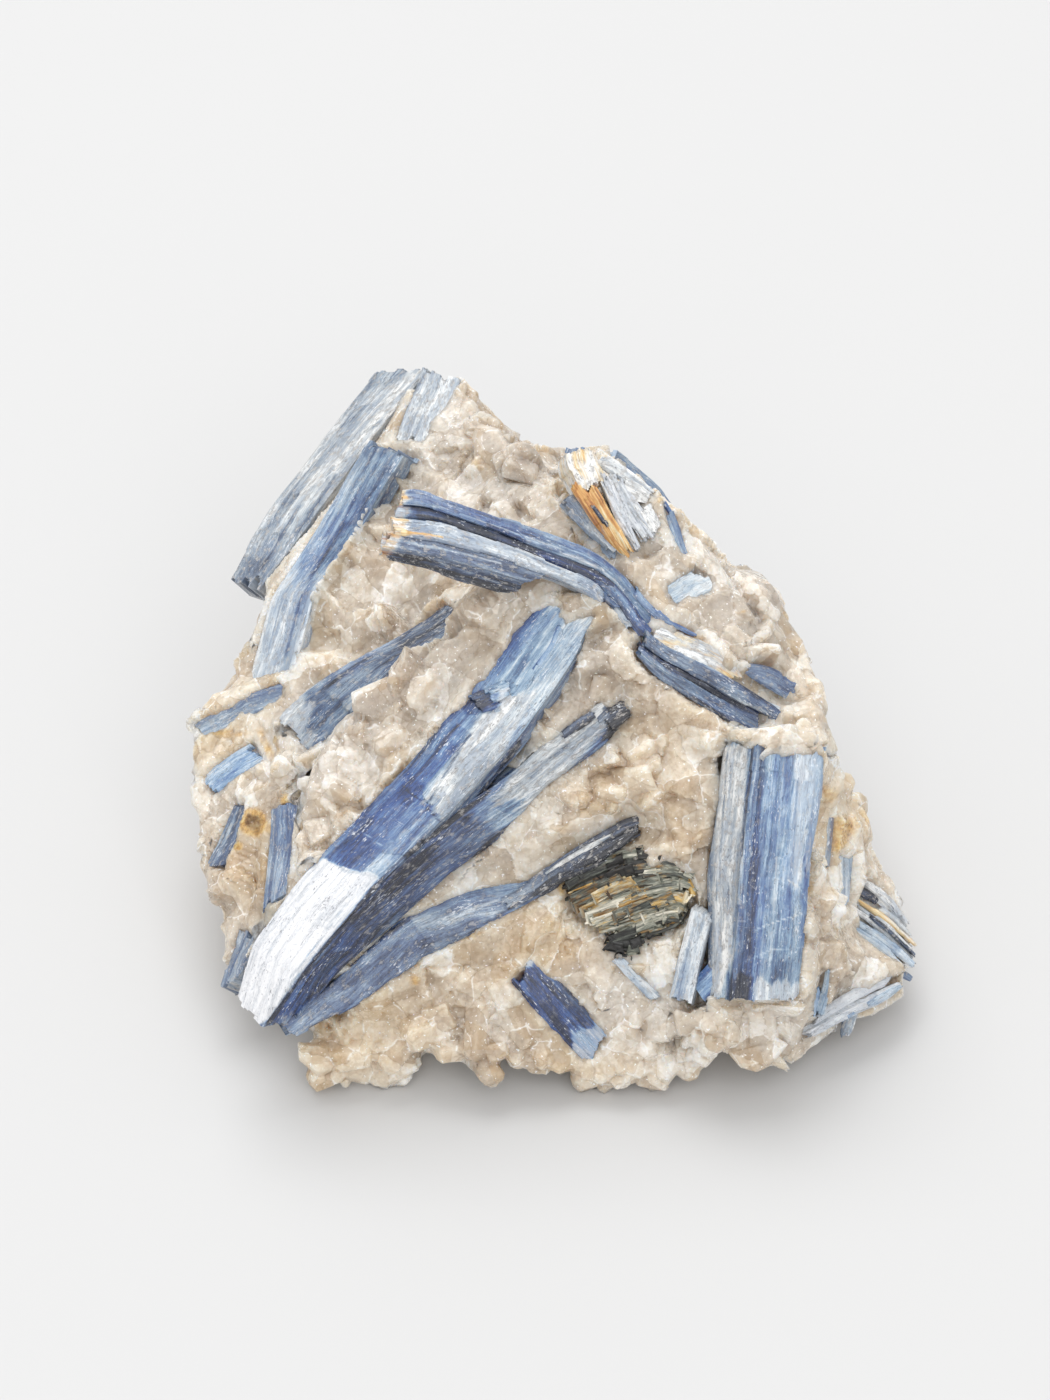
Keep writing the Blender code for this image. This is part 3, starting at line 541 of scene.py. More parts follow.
def fit_to_blades(points):
    """Brings the quartz to the blades: level with their faces beside them, lapping over some
    of their edges, and well below the face everywhere else."""
    out = points.copy()
    facet = plane_noise(points, 1.5, 61)
    for name, slabs in CRYSTALS.items():
        laps = LAP.get(name, [(0.5, 0.5, 0.6, 0.6)] * len(slabs))
        if name == "front_blade_sheaf":
            slabs, laps = [dark_end()] + slabs, [(0.1, 0.3, 0.0, 0.5)] + laps
        first = len(slabs) - len(CRYSTALS[name])
        for order, slab in enumerate(slabs):
            thick = slab[1]
            lap = laps[order]
            si = order - first if order >= first else 9
            s, L, R, N, D = blade_frames(slab, 0.5)
            M = (L + R) / 2
            seed = 700 + 7 * STYLE[name][-1] + si
            lo, hi = np.minimum(L, R).min(0) - 4, np.maximum(L, R).max(0) + 4
            near = np.where(((out > lo) & (out < hi)).all(1))[0]
            for a in range(0, len(near), 20000):
                idx = near[a:a + 20000]
                Q = out[idx]
                k = np.argmin(((Q[:, None, :] - M[None]) ** 2).sum(2), 1)
                rel = Q - L[k]
                across = R[k] - L[k]
                width = np.linalg.norm(across, axis=1)
                unit = across / width[:, None]
                d = -(rel * N[k]).sum(1)
                u = (rel * unit).sum(1)
                run = s[k] + ((Q - M[k]) * D[k]).sum(1)
                w1 = noise2(run / 1.7, 0.3, seed, 3)
                w2 = noise2(run / 1.7, 7.3, seed + 1, 3)
                w3 = noise2(u / 1.7, 3.3, seed + 2, 3)
                w4 = noise2(u / 1.7, 9.3, seed + 3, 3)
                inset = [u, width - u, run, s[-1] - run]
                inner = np.minimum(np.minimum(inset[0], inset[1]), np.minimum(inset[2], inset[3]))
                x = np.full(len(idx), -9.0)
                free = np.zeros(len(idx), bool)
                for e, amount, w in zip(inset, lap, (w1, w2, w3, w4)):
                    if amount >= 0:
                        x = np.maximum(x, np.maximum(amount * (1.9 * w - 0.45), 0.12) - e)
                    else:
                        free |= e < 0.1
                inside = inner > 0
                want = min(0.8, 0.5 * thick)
                rise = 0.05 + 0.5 * facet[idx]
                level = np.where(x < 0, -want * np.clip(-x / 0.45, 0, 1), rise * np.clip(x / 0.5, 0, 1))
                level -= 0.35 * np.clip((-inner - 0.4) / 1.6, 0, 1)
                fade = 1 - smooth01(-inner / 2.8)
                fade *= 1 - smooth01((np.abs(d) - 1.2) / 1.4)
                reach = (d < 2.6) & (d > -2.6)
                shift = np.where(inside, np.where(x < 0, np.minimum(0, d + level), np.where(reach, d + level, 0)), (d + level) * fade * reach)
                shift = np.where(free & ~inside, 0, shift)
                shift = np.where(inside & ((d > thick) | (d < -4)), 0, shift)
                shift = np.where(free & inside, np.minimum(0, d - want), shift)
                out[idx] += N[k] * shift[:, None]
    return out


def hull_into(bm, corners):
    verts = [bm.verts.new(Vector(c) / 1000) for c in corners]
    made = bmesh.ops.convex_hull(bm, input=verts)
    loose = [v for v in made["geom_interior"] + made["geom_unused"] if isinstance(v, bmesh.types.BMVert)]
    bmesh.ops.delete(bm, geom=list(set(loose)), context="VERTS")


QUARTZ_VOXEL = 0.28
QUARTZ_TRIANGLES = 190000

# Quartz that fills hollows between the blocks: middle, half sizes, turn, seed.
FILLS = [(S(742, 737, 0.9), (2.2, 1.1, 1.6), 5, 92), (S(768, 736, 0.9), (2.4, 1.1, 1.6), -8, 93), (S(795, 738, 0.6), (2.2, 1.0, 1.4), 3, 94),
         (S(722, 738, -0.4), (1.6, 1.0, 1.4), 10, 95), (S(698, 1022, -2.8), (2.6, 1.6, 2.2), 15, 96), (S(718, 1034, -2.2), (2.2, 1.8, 2.0), -20, 97),
         (S(280, 736, -10.0), (1.7, 1.3, 1.3), 40, 98), (S(306, 753, -9.6), (1.5, 1.2, 1.2), 20, 99), (S(300, 752, -11.0), (2.6, 2.4, 2.6), 20, 90), (S(292, 775, -12.0), (2.4, 2.6, 2.4), 50, 91)]


# Larger crystals of the aggregate: place on the sheet, length, width and thickness in mm,
# angle on the sheet, how far they stand out, seed.
PLACED = [
    (307, 754, 3.6, 3.0, 5.0, 40, 1.9, 50), (298, 742, 3.0, 2.4, 3.6, -20, 1.2, 51), (752, 735, 4.6, 1.6, 3.4, 0, 1.7, 52),
    (778, 734, 4.0, 1.6, 3.0, 4, 1.5, 53), (328, 1074, 3.8, 2.6, 3.2, 20, 0.6, 54), (300, 1056, 3.0, 2.2, 3.0, -40, 0.6, 55),
    (372, 1076, 3.6, 2.4, 3.0, -10, 0.6, 56), (405, 1070, 3.0, 2.2, 2.8, 50, 0.6, 57), (595, 1076, 4.2, 2.6, 3.2, 15, 0.6, 58),
    (618, 1072, 3.2, 2.6, 3.0, -50, 0.6, 59), (565, 1066, 3.2, 2.4, 2.8, 30, 0.6, 60), (655, 1078, 3.4, 2.4, 2.8, -15, 0.6, 61),
    (520, 1052, 3.0, 2.2, 2.6, 65, 0.6, 62), (452, 1052, 3.0, 2.2, 2.6, 10, 0.6, 63), (690, 1066, 2.8, 2.2, 2.6, 70, 0.6, 64),
    (245, 980, 2.6, 1.8, 2.4, 60, 0.6, 65), (262, 770, 2.6, 2.0, 2.4, -35, 0.8, 66), (230, 770, 2.2, 1.6, 2.0, 20, 0.7, 67),
    (430, 1027, 5.4, 3.4, 3.6, 25, 0.9, 1), (476, 1030, 5.6, 2.4, 2.6, 85, 1.0, 2), (520, 1030, 3.4, 2.4, 2.6, -50, 0.8, 3),
    (548, 1050, 3.6, 2.6, 2.6, 70, 0.8, 4), (350, 1055, 4.2, 3.0, 3.0, 10, 0.7, 5), (310, 1048, 3.0, 2.4, 2.6, -30, 0.6, 6),
    (395, 1055, 3.4, 2.8, 2.8, 60, 0.8, 7), (640, 1050, 3.2, 2.4, 2.6, 20, 0.7, 8), (665, 1062, 3.0, 2.2, 2.4, -60, 0.8, 9),
    (700, 1050, 3.2, 2.6, 2.6, 80, 0.8, 10), (730, 1026, 3.6, 2.4, 2.6, 85, 1.3, 11), (760, 1020, 2.8, 1.9, 2.4, 5, 1.5, 12),
    (757, 1052, 3.6, 2.6, 2.8, 80, 1.2, 13), (775, 1006, 5.2, 1.5, 2.0, 4, 1.2, 14), (720, 742, 3.6, 1.6, 2.2, 0, 0.9, 15),
    (790, 738, 5.0, 1.7, 2.2, -3, 0.9, 16), (530, 722, 1.7, 1.4, 1.6, 20, 0.6, 17), (548, 742, 1.5, 1.3, 1.5, 60, 0.6, 18),
    (522, 766, 1.9, 1.5, 1.6, -20, 0.6, 19), (556, 716, 1.4, 1.2, 1.4, 40, 0.5, 20),
    (650, 515, 2.4, 2.1, 2.4, 15, 1.1, 22), (485, 436, 4.6, 2.2, 2.6, -35, 0.9, 23), (460, 415, 3.6, 2.2, 2.6, 40, 0.7, 24),
    (520, 470, 3.2, 2.2, 2.4, -20, 0.7, 25), (600, 600, 2.6, 1.8, 2.2, 10, 0.6, 26), (690, 600, 3.6, 2.4, 2.4, 50, 0.8, 27),
    (735, 640, 3.6, 2.6, 2.6, -35, 0.8, 28), (600, 690, 2.6, 2.0, 2.2, 70, 0.7, 29), (640, 750, 2.8, 2.2, 2.4, 30, 0.8, 30),
    (610, 790, 3.2, 2.4, 2.4, -15, 0.8, 31), (650, 800, 2.8, 2.0, 2.2, 50, 0.8, 32), (560, 830, 3.0, 2.0, 2.2, 15, 0.7, 33),
    (510, 1000, 3.0, 2.2, 2.4, 35, 0.8, 34), (470, 985, 2.8, 2.0, 2.2, -25, 0.7, 35), (600, 980, 3.0, 1.9, 2.2, -40, 0.8, 36),
    (545, 985, 2.6, 1.8, 2.2, 80, 0.8, 37), (650, 985, 3.0, 2.0, 2.2, 20, 0.8, 38), (420, 690, 3.6, 2.6, 2.4, 55, 0.6, 39),
    (390, 740, 3.4, 2.4, 2.4, 35, 0.6, 40), (340, 790, 3.4, 2.6, 2.4, -30, 0.6, 41), (300, 560, 3.2, 2.0, 2.2, 60, 0.7, 42),
    (225, 700, 3.0, 1.9, 2.2, 15, 0.7, 43), (240, 720, 2.4, 1.8, 2.0, -40, 0.7, 44), (280, 830, 2.6, 2.0, 2.2, 30, 0.7, 45),
    (842, 790, 3.2, 1.9, 2.2, -65, 0.8, 46), (845, 835, 3.6, 1.6, 2.0, 88, 0.9, 47), (815, 880, 3.2, 2.0, 2.2, 70, 0.8, 48),
]


def on_lump(tree, px, py):
    """The point where the line from the eye through a place on the sheet meets the quartz."""
    eye = TO_EYE * EYE_MM + Vector((0, 0, MID_HEIGHT_MM))
    hit = tree.ray_cast(eye, (Vector(S(px, py)) - eye).normalized())[0]
    return hit


def joined(bm, voxel, rounds):
    """The outer surface of overlapping solids, on a fine regular grid."""
    mesh = bpy.data.meshes.new("quartz")
    bm.to_mesh(mesh)
    obj = bpy.data.objects.new("quartz", mesh)
    bpy.context.scene.collection.objects.link(obj)
    mod = obj.modifiers.new("join", "REMESH")
    mod.mode = "VOXEL"
    mod.voxel_size = voxel / 1000
    round_ = obj.modifiers.new("round", "SMOOTH")
    round_.factor = 0.5
    round_.iterations = rounds
    graph = bpy.context.evaluated_depsgraph_get()
    mesh = bpy.data.meshes.new_from_object(obj.evaluated_get(graph))
    bpy.data.objects.remove(obj)
    obj = bpy.data.objects.new("quartz", mesh)
    bpy.context.scene.collection.objects.link(obj)
    return obj


def turned(rng):
    """A random rotation."""
    q = rng.normal(size=4)
    a, b, c, d = q / np.linalg.norm(q)
    return np.array([[1 - 2 * (c * c + d * d), 2 * (b * c - a * d), 2 * (b * d + a * c)],
                     [2 * (b * c + a * d), 1 - 2 * (b * b + d * d), 2 * (c * d - a * b)],
                     [2 * (b * d - a * c), 2 * (c * d + a * b), 1 - 2 * (b * b + c * c)]])


def calm(mesh, co):
    """Evens out the few places where neighbouring points were drawn far apart."""
    ends = np.empty(len(mesh.edges) * 2, dtype=int)
    mesh.edges.foreach_get("vertices", ends)
    a, b = ends.reshape(-1, 2).T
    count = np.bincount(a, minlength=len(co)) + np.bincount(b, minlength=len(co))
    for _ in range(5):
        long_ = np.linalg.norm(co[a] - co[b], axis=1) > 2.6 * QUARTZ_VOXEL
        loose = np.zeros(len(co), bool)
        loose[a[long_]] = loose[b[long_]] = True
        total = np.stack([np.bincount(a, co[b, k], len(co)) + np.bincount(b, co[a, k], len(co)) for k in range(3)], 1)
        co = np.where(loose[:, None], 0.4 * co + 0.6 * total / count[:, None], co)
    return co


# Clean-faced crystals and fragments: outline on the sheet, how far they stand out, depth (mm).
CHUNKS = [
    ([(738, 1002), (802, 1003), (797, 1017), (741, 1014)], 0.9, 3.0), ([(716, 1010), (744, 1012), (745, 1046), (722, 1050)], 0.7, 3.2),
    ([(747, 1017), (775, 1015), (778, 1038), (749, 1044)], 1.6, 3.4), ([(727, 1052), (778, 1038), (789, 1044), (770, 1066), (757, 1073), (740, 1068)], 1.5, 3.6),
    ([(699, 1008), (715, 1010), (718, 1032), (703, 1036)], 0.6, 2.4), ([(673, 1010), (697, 1012), (700, 1034), (678, 1036)], 0.6, 2.4),
    ([(296, 1040), (330, 1046), (338, 1070), (318, 1077), (298, 1060)], 0.6, 3.0), ([(340, 1056), (372, 1050), (384, 1072), (366, 1085), (342, 1079)], 0.6, 3.0),
    ([(384, 1060), (412, 1054), (420, 1070), (398, 1081)], 0.6, 2.6), ([(480, 1046), (506, 1040), (511, 1056), (490, 1065)], 0.6, 2.4),
    ([(545, 1052), (572, 1046), (580, 1064), (560, 1075), (546, 1068)], 0.6, 2.6), ([(580, 1060), (612, 1054), (620, 1075), (600, 1085), (582, 1078)], 0.6, 2.8),
    ([(622, 1058), (648, 1052), (660, 1070), (640, 1080), (624, 1075)], 0.6, 2.8), ([(655, 1056), (676, 1050), (683, 1068), (668, 1086), (656, 1078)], 0.6, 2.8),
    ([(690, 1042), (712, 1040), (721, 1050), (706, 1068), (692, 1062)], 0.6, 2.6), ([(470, 420), (500, 428), (520, 468), (498, 480), (474, 452)], 0.5, 3.0),
    ([(410, 402), (446, 394), (468, 420), (440, 438), (414, 426)], 0.5, 3.0), ([(692, 596), (738, 590), (756, 618), (722, 636), (698, 628)], 0.5, 3.0),
    ([(744, 642), (780, 644), (788, 678), (762, 686)], 0.5, 2.8), ([(610, 770), (648, 764), (658, 790), (632, 804), (610, 794)], 0.5, 2.6),
    ([(560, 815), (588, 808), (598, 824), (578, 838), (562, 830)], 0.5, 2.2), ([(648, 944), (672, 938), (678, 962), (656, 970)], 0.5, 2.2),
    ([(484, 982), (508, 976), (518, 998), (496, 1008)], 0.5, 2.2), ([(350, 692), (388, 676), (400, 702), (372, 722), (352, 712)], 0.4, 2.6),
    ([(302, 822), (328, 814), (336, 840), (312, 848)], 0.5, 2.2), ([(420, 1010), (446, 1002), (458, 1026), (436, 1040), (422, 1030)], 0.5, 2.6),
]


def chunk_corners(tree, outline, proud, depth, rng):
    """Corners of a clean-faced fragment standing out of the aggregate."""
    middle = np.mean(outline, 0)
    hit = on_lump(tree, *middle)
    if hit is None:
        return None
    w = float(to_sheet(np.array([hit[:]]))[0, 2]) + proud
    lean = rng.uniform(-0.5, 0.5, 2) / 12
    v = []
    for scale, drop in ((0.80, 0.0), (1.0, 0.6), (0.9, depth)):
        for q in outline:
            d = (np.array(q) - middle) * scale
            v.append(S(*(middle + d), w - drop + float(d @ lean) + rng.uniform(-0.15, 0.15)))
    return np.array(v, float)


def planes_of(corners):
    """Outward plane of every face of the hull of some corners."""
    bm = bmesh.new()
    hull_into(bm, corners)
    bm.normal_update()
    out = [(tuple(f.normal), tuple(f.verts[0].co * 1000)) for f in bm.faces if f.normal.length > 0.5]
    bm.free()
    return np.array([q[0] for q in out]), np.array([q[1] for q in out])


def clean_map(points, solids):
    """1 where a point lies on the face of one of the clean crystals, and how far it is off that face."""
    m, shift = np.zeros(len(points)), np.zeros((len(points), 3))
    for v in solids:
        lo, hi = v.min(0) - 0.5, v.max(0) + 0.5
        near = np.where(((points > lo) & (points < hi)).all(1))[0]
        if not len(near):
            continue
        normal, through = planes_of(v)
        d = ((points[near][:, None, :] - through[None]) * normal[None]).sum(2)
        k = d.argmax(1)
        f = d[np.arange(len(near)), k]
        on = np.abs(f) < 0.38
        idx = near[on]
        m[idx] = 1
        shift[idx] = -f[on][:, None] * normal[k[on]]
    return m, shift


def quartz():
    bm = bmesh.new()
    for corners in BLOCKS.values():
        hull_into(bm, corners)
    for i, (centre, half, turn) in enumerate(LUMPS):
        hull_into(bm, lump_corners(centre, half, turn, 50 + i))
    for centre, half, turn, seed in FILLS:
        hull_into(bm, lump_corners(centre, half, turn, seed))
    coarse = joined(bm, 0.9, 2)
    # crystals of the aggregate, half sunk into it
    mesh = coarse.data
    areas = np.empty(len(mesh.polygons))
    mesh.polygons.foreach_get("area", areas)
    centres = np.empty(len(mesh.polygons) * 3)
    mesh.polygons.foreach_get("center", centres)
    centres = centres.reshape(-1, 3) * 1000
    normals = np.empty(len(mesh.polygons) * 3)
    mesh.polygons.foreach_get("normal", normals)
    normals = normals.reshape(-1, 3)
    rng = np.random.default_rng(88)
    crowd = rough_map(centres, to_sheet(centres))
    shapes = grain_shapes(40, 89)
    clean = []
    for number, low, high, power, sunk in [(210, 1.8, 3.3, 0.0, 0.66), (420, 1.0, 1.8, 2.0, 0.58), (420, 0.6, 1.0, 5.0, 0.45)]:
        weight = np.where(centres[:, 2] > 0.5, areas * crowd ** power, 0)
        for i in rng.choice(len(weight), size=number, p=weight / weight.sum(), replace=False):
            size = rng.uniform(low, high)
            C = centres[i] - normals[i] * size * rng.uniform(sunk - 0.2, sunk + 0.25)
            v = shapes[int(rng.integers(len(shapes)))][0] @ turned(rng).T * size + C
            if v[:, 2].min() < 0.05:
                v[:, 2] += 0.05 - v[:, 2].min()
            hull_into(bm, v)
            if rng.random() < 0.45 and size > 0.9:
                clean.append(v)
    tree = BVHTree.FromPolygons([v.co * 1000 for v in mesh.vertices], [tuple(q.vertices) for q in mesh.polygons])
    for px, py, length, width, thick, angle, proud, seed in PLACED:
        hit = on_lump(tree, px, py)
        if hit is None:
            continue
        a = math.radians(angle)
        right, up, eye = (np.array(W(*v)) for v in ((1, 0, 0), (0, COS, SIN), (0, -COS, SIN)))
        along = right * math.cos(a) + up * math.sin(a)
        side = np.cross(eye, along)
        r = np.random.default_rng(seed)
        v = []
        for sx, cut in ((-1, r.uniform(0.45, 0.9)), (1, r.uniform(0.3, 0.8))):
            for j in range(6):
                q = math.radians(60 * j + 30 + r.uniform(-14, 14))
                for e, rad in ((0.5 - 0.22 * cut, 1.0), (0.5, 0.45 * r.uniform(0.6, 1.2))):
                    v.append(np.array(hit) - eye * (thick / 2 - proud) + along * sx * e * length
                             + (side * math.cos(q) * width + eye * math.sin(q) * thick) * 0.5 * rad)
        v = np.array(v)
        if v[:, 2].min() < 0.05:
            v[:, 2] += 0.05 - v[:, 2].min()
        hull_into(bm, v)
        clean.append(v)
    for outline, proud, depth in CHUNKS:
        v = chunk_corners(tree, outline, proud, depth, rng)
        if v is not None:
            v[:, 2] = np.maximum(v[:, 2], 0.05)
            hull_into(bm, v)
            clean.append(v)
    bpy.data.objects.remove(coarse)
    obj = joined(bm, QUARTZ_VOXEL, 1)
    bm.free()
    mesh = obj.data
    co, no = mesh_arrays(mesh)
    rest = co.copy()
    # the lump's own facets, as in the solid
    _, _, centre, value, direction = cell_noise(co, 7.0, 11)
    slope = ((co - centre) * direction).sum(1)
    tidy, snap = clean_map(rest, clean)
    co += no * ((1 - tidy) * (0.7 * (value - 0.5) + 0.16 * slope))[:, None]
    # grains
    rough = rough_map(rest, to_sheet(rest))
    bent = rest + 1.6 * np.stack([plane_noise(rest, 6.0, 71 + i) - 0.5 for i in range(3)], 1)
    move = 1.3 * (plane_noise(bent, 5.2, 1) - 0.5)
    move += 1.0 * (plane_noise(bent, 2.4, 2) - 0.5)
    move += rough * 0.6 * (plane_noise(bent, 1.15, 3) - 0.5)
    move *= 0.7 + 0.3 * smooth01((rest[:, 2] - 1.0) / 4)
    co += no * (move * (1 - 0.9 * tidy))[:, None] + 0.9 * snap
    co = calm(mesh, fit_to_blades(co))
    value = plane_noise(bent, 2.0, 5)
    sheet = to_sheet(rest)
    # painted shade where k is positive and painted light where k is negative, laid on the quartz's grain tone; a few
    # blobs, such as the brown patch low on the left, are also the quartz's own darker colour
    for x, y, rx, ry, t, k in [(365, 790, 50, 70, 35, 0.7), (290, 745, 45, 45, 0, -0.7), (235, 930, 30, 90, 0, -0.6), (660, 665, 60, 45, 0, 0.9), (600, 650, 40, 40, 0, 0.5), (512, 812, 45, 40, 0, 0.6), (540, 1030, 70, 40, 0, 0.4), (740, 590, 60, 50, 0, 0.4), (500, 440, 110, 60, 30, 0.7), (248, 875, 36, 60, 0, 1.3), (430, 650, 60, 60, -40, 0.3),
                               (620, 770, 60, 40, 0, 0.1), (570, 940, 60, 40, 0, 0.5), (850, 850, 60, 130, 0, -0.9), (640, 1020, 130, 60, 0, -0.4),
                               (610, 820, 60, 60, 0, -0.4), (490, 880, 50, 40, 0, -0.4), (420, 560, 80, 50, 0, -0.2), (650, 560, 80, 40, 30, -0.4),
                               (240, 740, 50, 50, 0, -0.3)]:
        value = value - k * blob(sheet, x, y, rx, ry, t) * front_side(sheet)
    flat = rest[:, 2] < 0.35
    co[:, 2] = np.where(flat, 0.0, np.maximum(co[:, 2], 0.02))
    mesh.vertices.foreach_set("co", (co / 1000).ravel())
    mesh.polygons.foreach_set("use_smooth", [False] * len(mesh.polygons))
    attribute(mesh, "grain_tone_and_painted_shading", value)
    attribute(mesh, "clean", tidy)
    attribute(mesh, "warm", warm_map(rest, to_sheet(rest)))
    attribute(mesh, "rust", rust_map(rest, to_sheet(rest)))
    mesh.update()
    now = sum(len(q.vertices) - 2 for q in mesh.polygons)
    thin = obj.modifiers.new("thin", "DECIMATE")
    thin.ratio = min(1.0, QUARTZ_TRIANGLES / now)
    graph = bpy.context.evaluated_depsgraph_get()
    mesh = bpy.data.meshes.new_from_object(obj.evaluated_get(graph))
    obj.modifiers.clear()
    obj.data = mesh
    without_crumbs(mesh, 400)
    mesh.polygons.foreach_set("use_smooth", [False] * len(mesh.polygons))
    return obj


def without_crumbs(mesh, smallest):
    """Removes the closed islands that have fewer faces than this, such as bubbles in the lump."""
    bm = bmesh.new()
    bm.from_mesh(mesh)
    bm.faces.index_update()
    seen = bytearray(len(bm.faces))
    crumbs = []
    for face in bm.faces:
        if seen[face.index]:
            continue
        seen[face.index] = 1
        island, edge_of = [], [face]
        while edge_of:
            f = edge_of.pop()
            island.append(f)
            for e in f.edges:
                for g in e.link_faces:
                    if not seen[g.index]:
                        seen[g.index] = 1
                        edge_of.append(g)
        if len(island) < smallest:
            crumbs += island
    if crumbs:
        bmesh.ops.delete(bm, geom=crumbs, context="FACES")
        bm.to_mesh(mesh)
    bm.free()


def blob(sheet, x, y, rx, ry, turn=0.0):
    """1 in the middle of an ellipse on the sheet, falling to 0 at its rim."""
    a = math.radians(turn)
    dx, dy = sheet[:, 0] - x, sheet[:, 1] - y
    u = (dx * math.cos(a) + dy * math.sin(a)) / rx
    v = (-dx * math.sin(a) + dy * math.cos(a)) / ry
    return smooth01(1.15 - np.sqrt(u * u + v * v))


def front_side(sheet):
    return smooth01((sheet[:, 2] + 30) / 8)


def rough_map(p, sheet):
    m = np.full(len(p), 0.85)
    smooth_areas = [(415, 700, 120, 70, -50), (520, 660, 60, 90, -30), (700, 590, 60, 40, 30), (330, 620, 60, 90, 25), (480, 430, 90, 70, 30), (430, 520, 90, 60, 10), (760, 610, 60, 50, 40)]
    for a in smooth_areas:
        m -= 0.45 * blob(sheet, *a) * front_side(sheet)
    for a in [(560, 1000, 260, 90, 0), (740, 560, 60, 40, 30), (240, 860, 50, 90, 0)]:
        m += 0.35 * blob(sheet, *a) * front_side(sheet)
    return m


def warm_map(p, sheet):
    """Tan colour of the quartz: strongest low on the front and at the left."""
    m = np.full(len(p), 0.27)
    for x, y, rx, ry, t, k in [(360, 1040, 110, 60, 0, 0.65), (470, 960, 110, 60, -20, 0.35), (250, 870, 60, 80, 0, 0.36),
                               (560, 930, 70, 50, 0, 0.45), (270, 620, 50, 120, 25, 0.05), (480, 645, 30, 40, 20, 0.05), (255, 700, 50, 60, 0, 0.1), (560, 870, 70, 50, 0, 0.3), (650, 800, 80, 90, 0, 0.5), (690, 720, 60, 40, 0, 0.3),
                               (840, 830, 40, 60, 0, 0.6), (215, 740, 40, 40, 0, 0.5), (560, 1060, 120, 40, 0, 0.2)]:
        m += k * blob(sheet, x, y, rx, ry, t) * front_side(sheet)
    for x, y, rx, ry, t, k in [(330, 750, 80, 90, 35, 0.4), (430, 650, 50, 50, 0, 0.25), (470, 440, 110, 80, 30, 0.4), (740, 600, 90, 60, 30, 0.2),
                               (430, 740, 100, 90, 0, 0.15), (640, 1020, 70, 60, 0, 0.15)]:
        m -= k * blob(sheet, x, y, rx, ry, t) * front_side(sheet)
    return np.clip(m, 0, 1)


def rust_map(p, sheet):
    m = np.zeros(len(p))
    for x, y, rx, ry, t, k in [(255, 822, 22, 22, 0, 1.35), (282, 836, 10, 20, 0, 1.2), (288, 800, 8, 14, 0, 1.0), (562, 884, 8, 16, 0, 1.2), (250, 885, 28, 40, 0, 0.45), (240, 847, 9, 9, 0, 1.0), (620, 905, 90, 45, 0, 0.5),
                               (850, 835, 16, 34, 0, 0.9), (828, 795, 10, 22, -35, 0.8), (600, 500, 40, 60, 55, 0.35),
                               (415, 979, 12, 10, 0, 0.9), (235, 733, 30, 8, 0, 0.6), (742, 612, 14, 6, 0, 0.7),
                               (470, 938, 24, 8, -20, 0.7), (692, 638, 44, 14, 28, 0.75), (628, 640, 8, 8, 0, 0.7), (700, 910, 14, 60, 5, 0.35),
                               (475, 462, 40, 10, 25, 0.5), (520, 945, 50, 12, -20, 0.35), (655, 500, 12, 10, 0, 0.8), (265, 742, 9, 30, -20, 0.8),
                               (205, 728, 32, 10, 20, 0.6), (245, 702, 22, 10, 0, 0.5), (640, 800, 60, 30, 0, 0.25)]:
        m += k * blob(sheet, x, y, rx, ry, t) * front_side(sheet)
    back, _, _, value, _ = cell_noise(p, 9.0, 33)
    m += np.where(front_side(sheet) < 0.5, 0.6 * smooth01((value - 0.72) * 6) * smooth01(1.2 - back / 4), 0)
    return np.clip(m, 0, 1.6)


def grain_shapes(count, seed):
    """A few dozen broken-crystal shapes, as vertices and triangles about the origin."""
    rng = np.random.default_rng(seed)
    shapes = []
    for _ in range(count):
        n = int(rng.integers(9, 15))
        pts = rng.normal(size=(n, 3))
        pts /= np.linalg.norm(pts, axis=1)[:, None]
        pts *= rng.uniform(0.75, 1.1, (n, 1))
        pts *= rng.uniform(0.65, 1.25, 3)
        bm = bmesh.new()
        verts = [bm.verts.new(p) for p in pts]
        made = bmesh.ops.convex_hull(bm, input=verts)
        loose = [v for v in made["geom_interior"] + made["geom_unused"] if isinstance(v, bmesh.types.BMVert)]
        bmesh.ops.delete(bm, geom=list(set(loose)), context="VERTS")
        bmesh.ops.triangulate(bm, faces=bm.faces)
        bm.verts.ensure_lookup_table()
        bm.verts.index_update()
        shapes.append((np.array([v.co[:] for v in bm.verts]), np.array([[v.index for v in f.verts] for f in bm.faces])))
        bm.free()
    return shapes


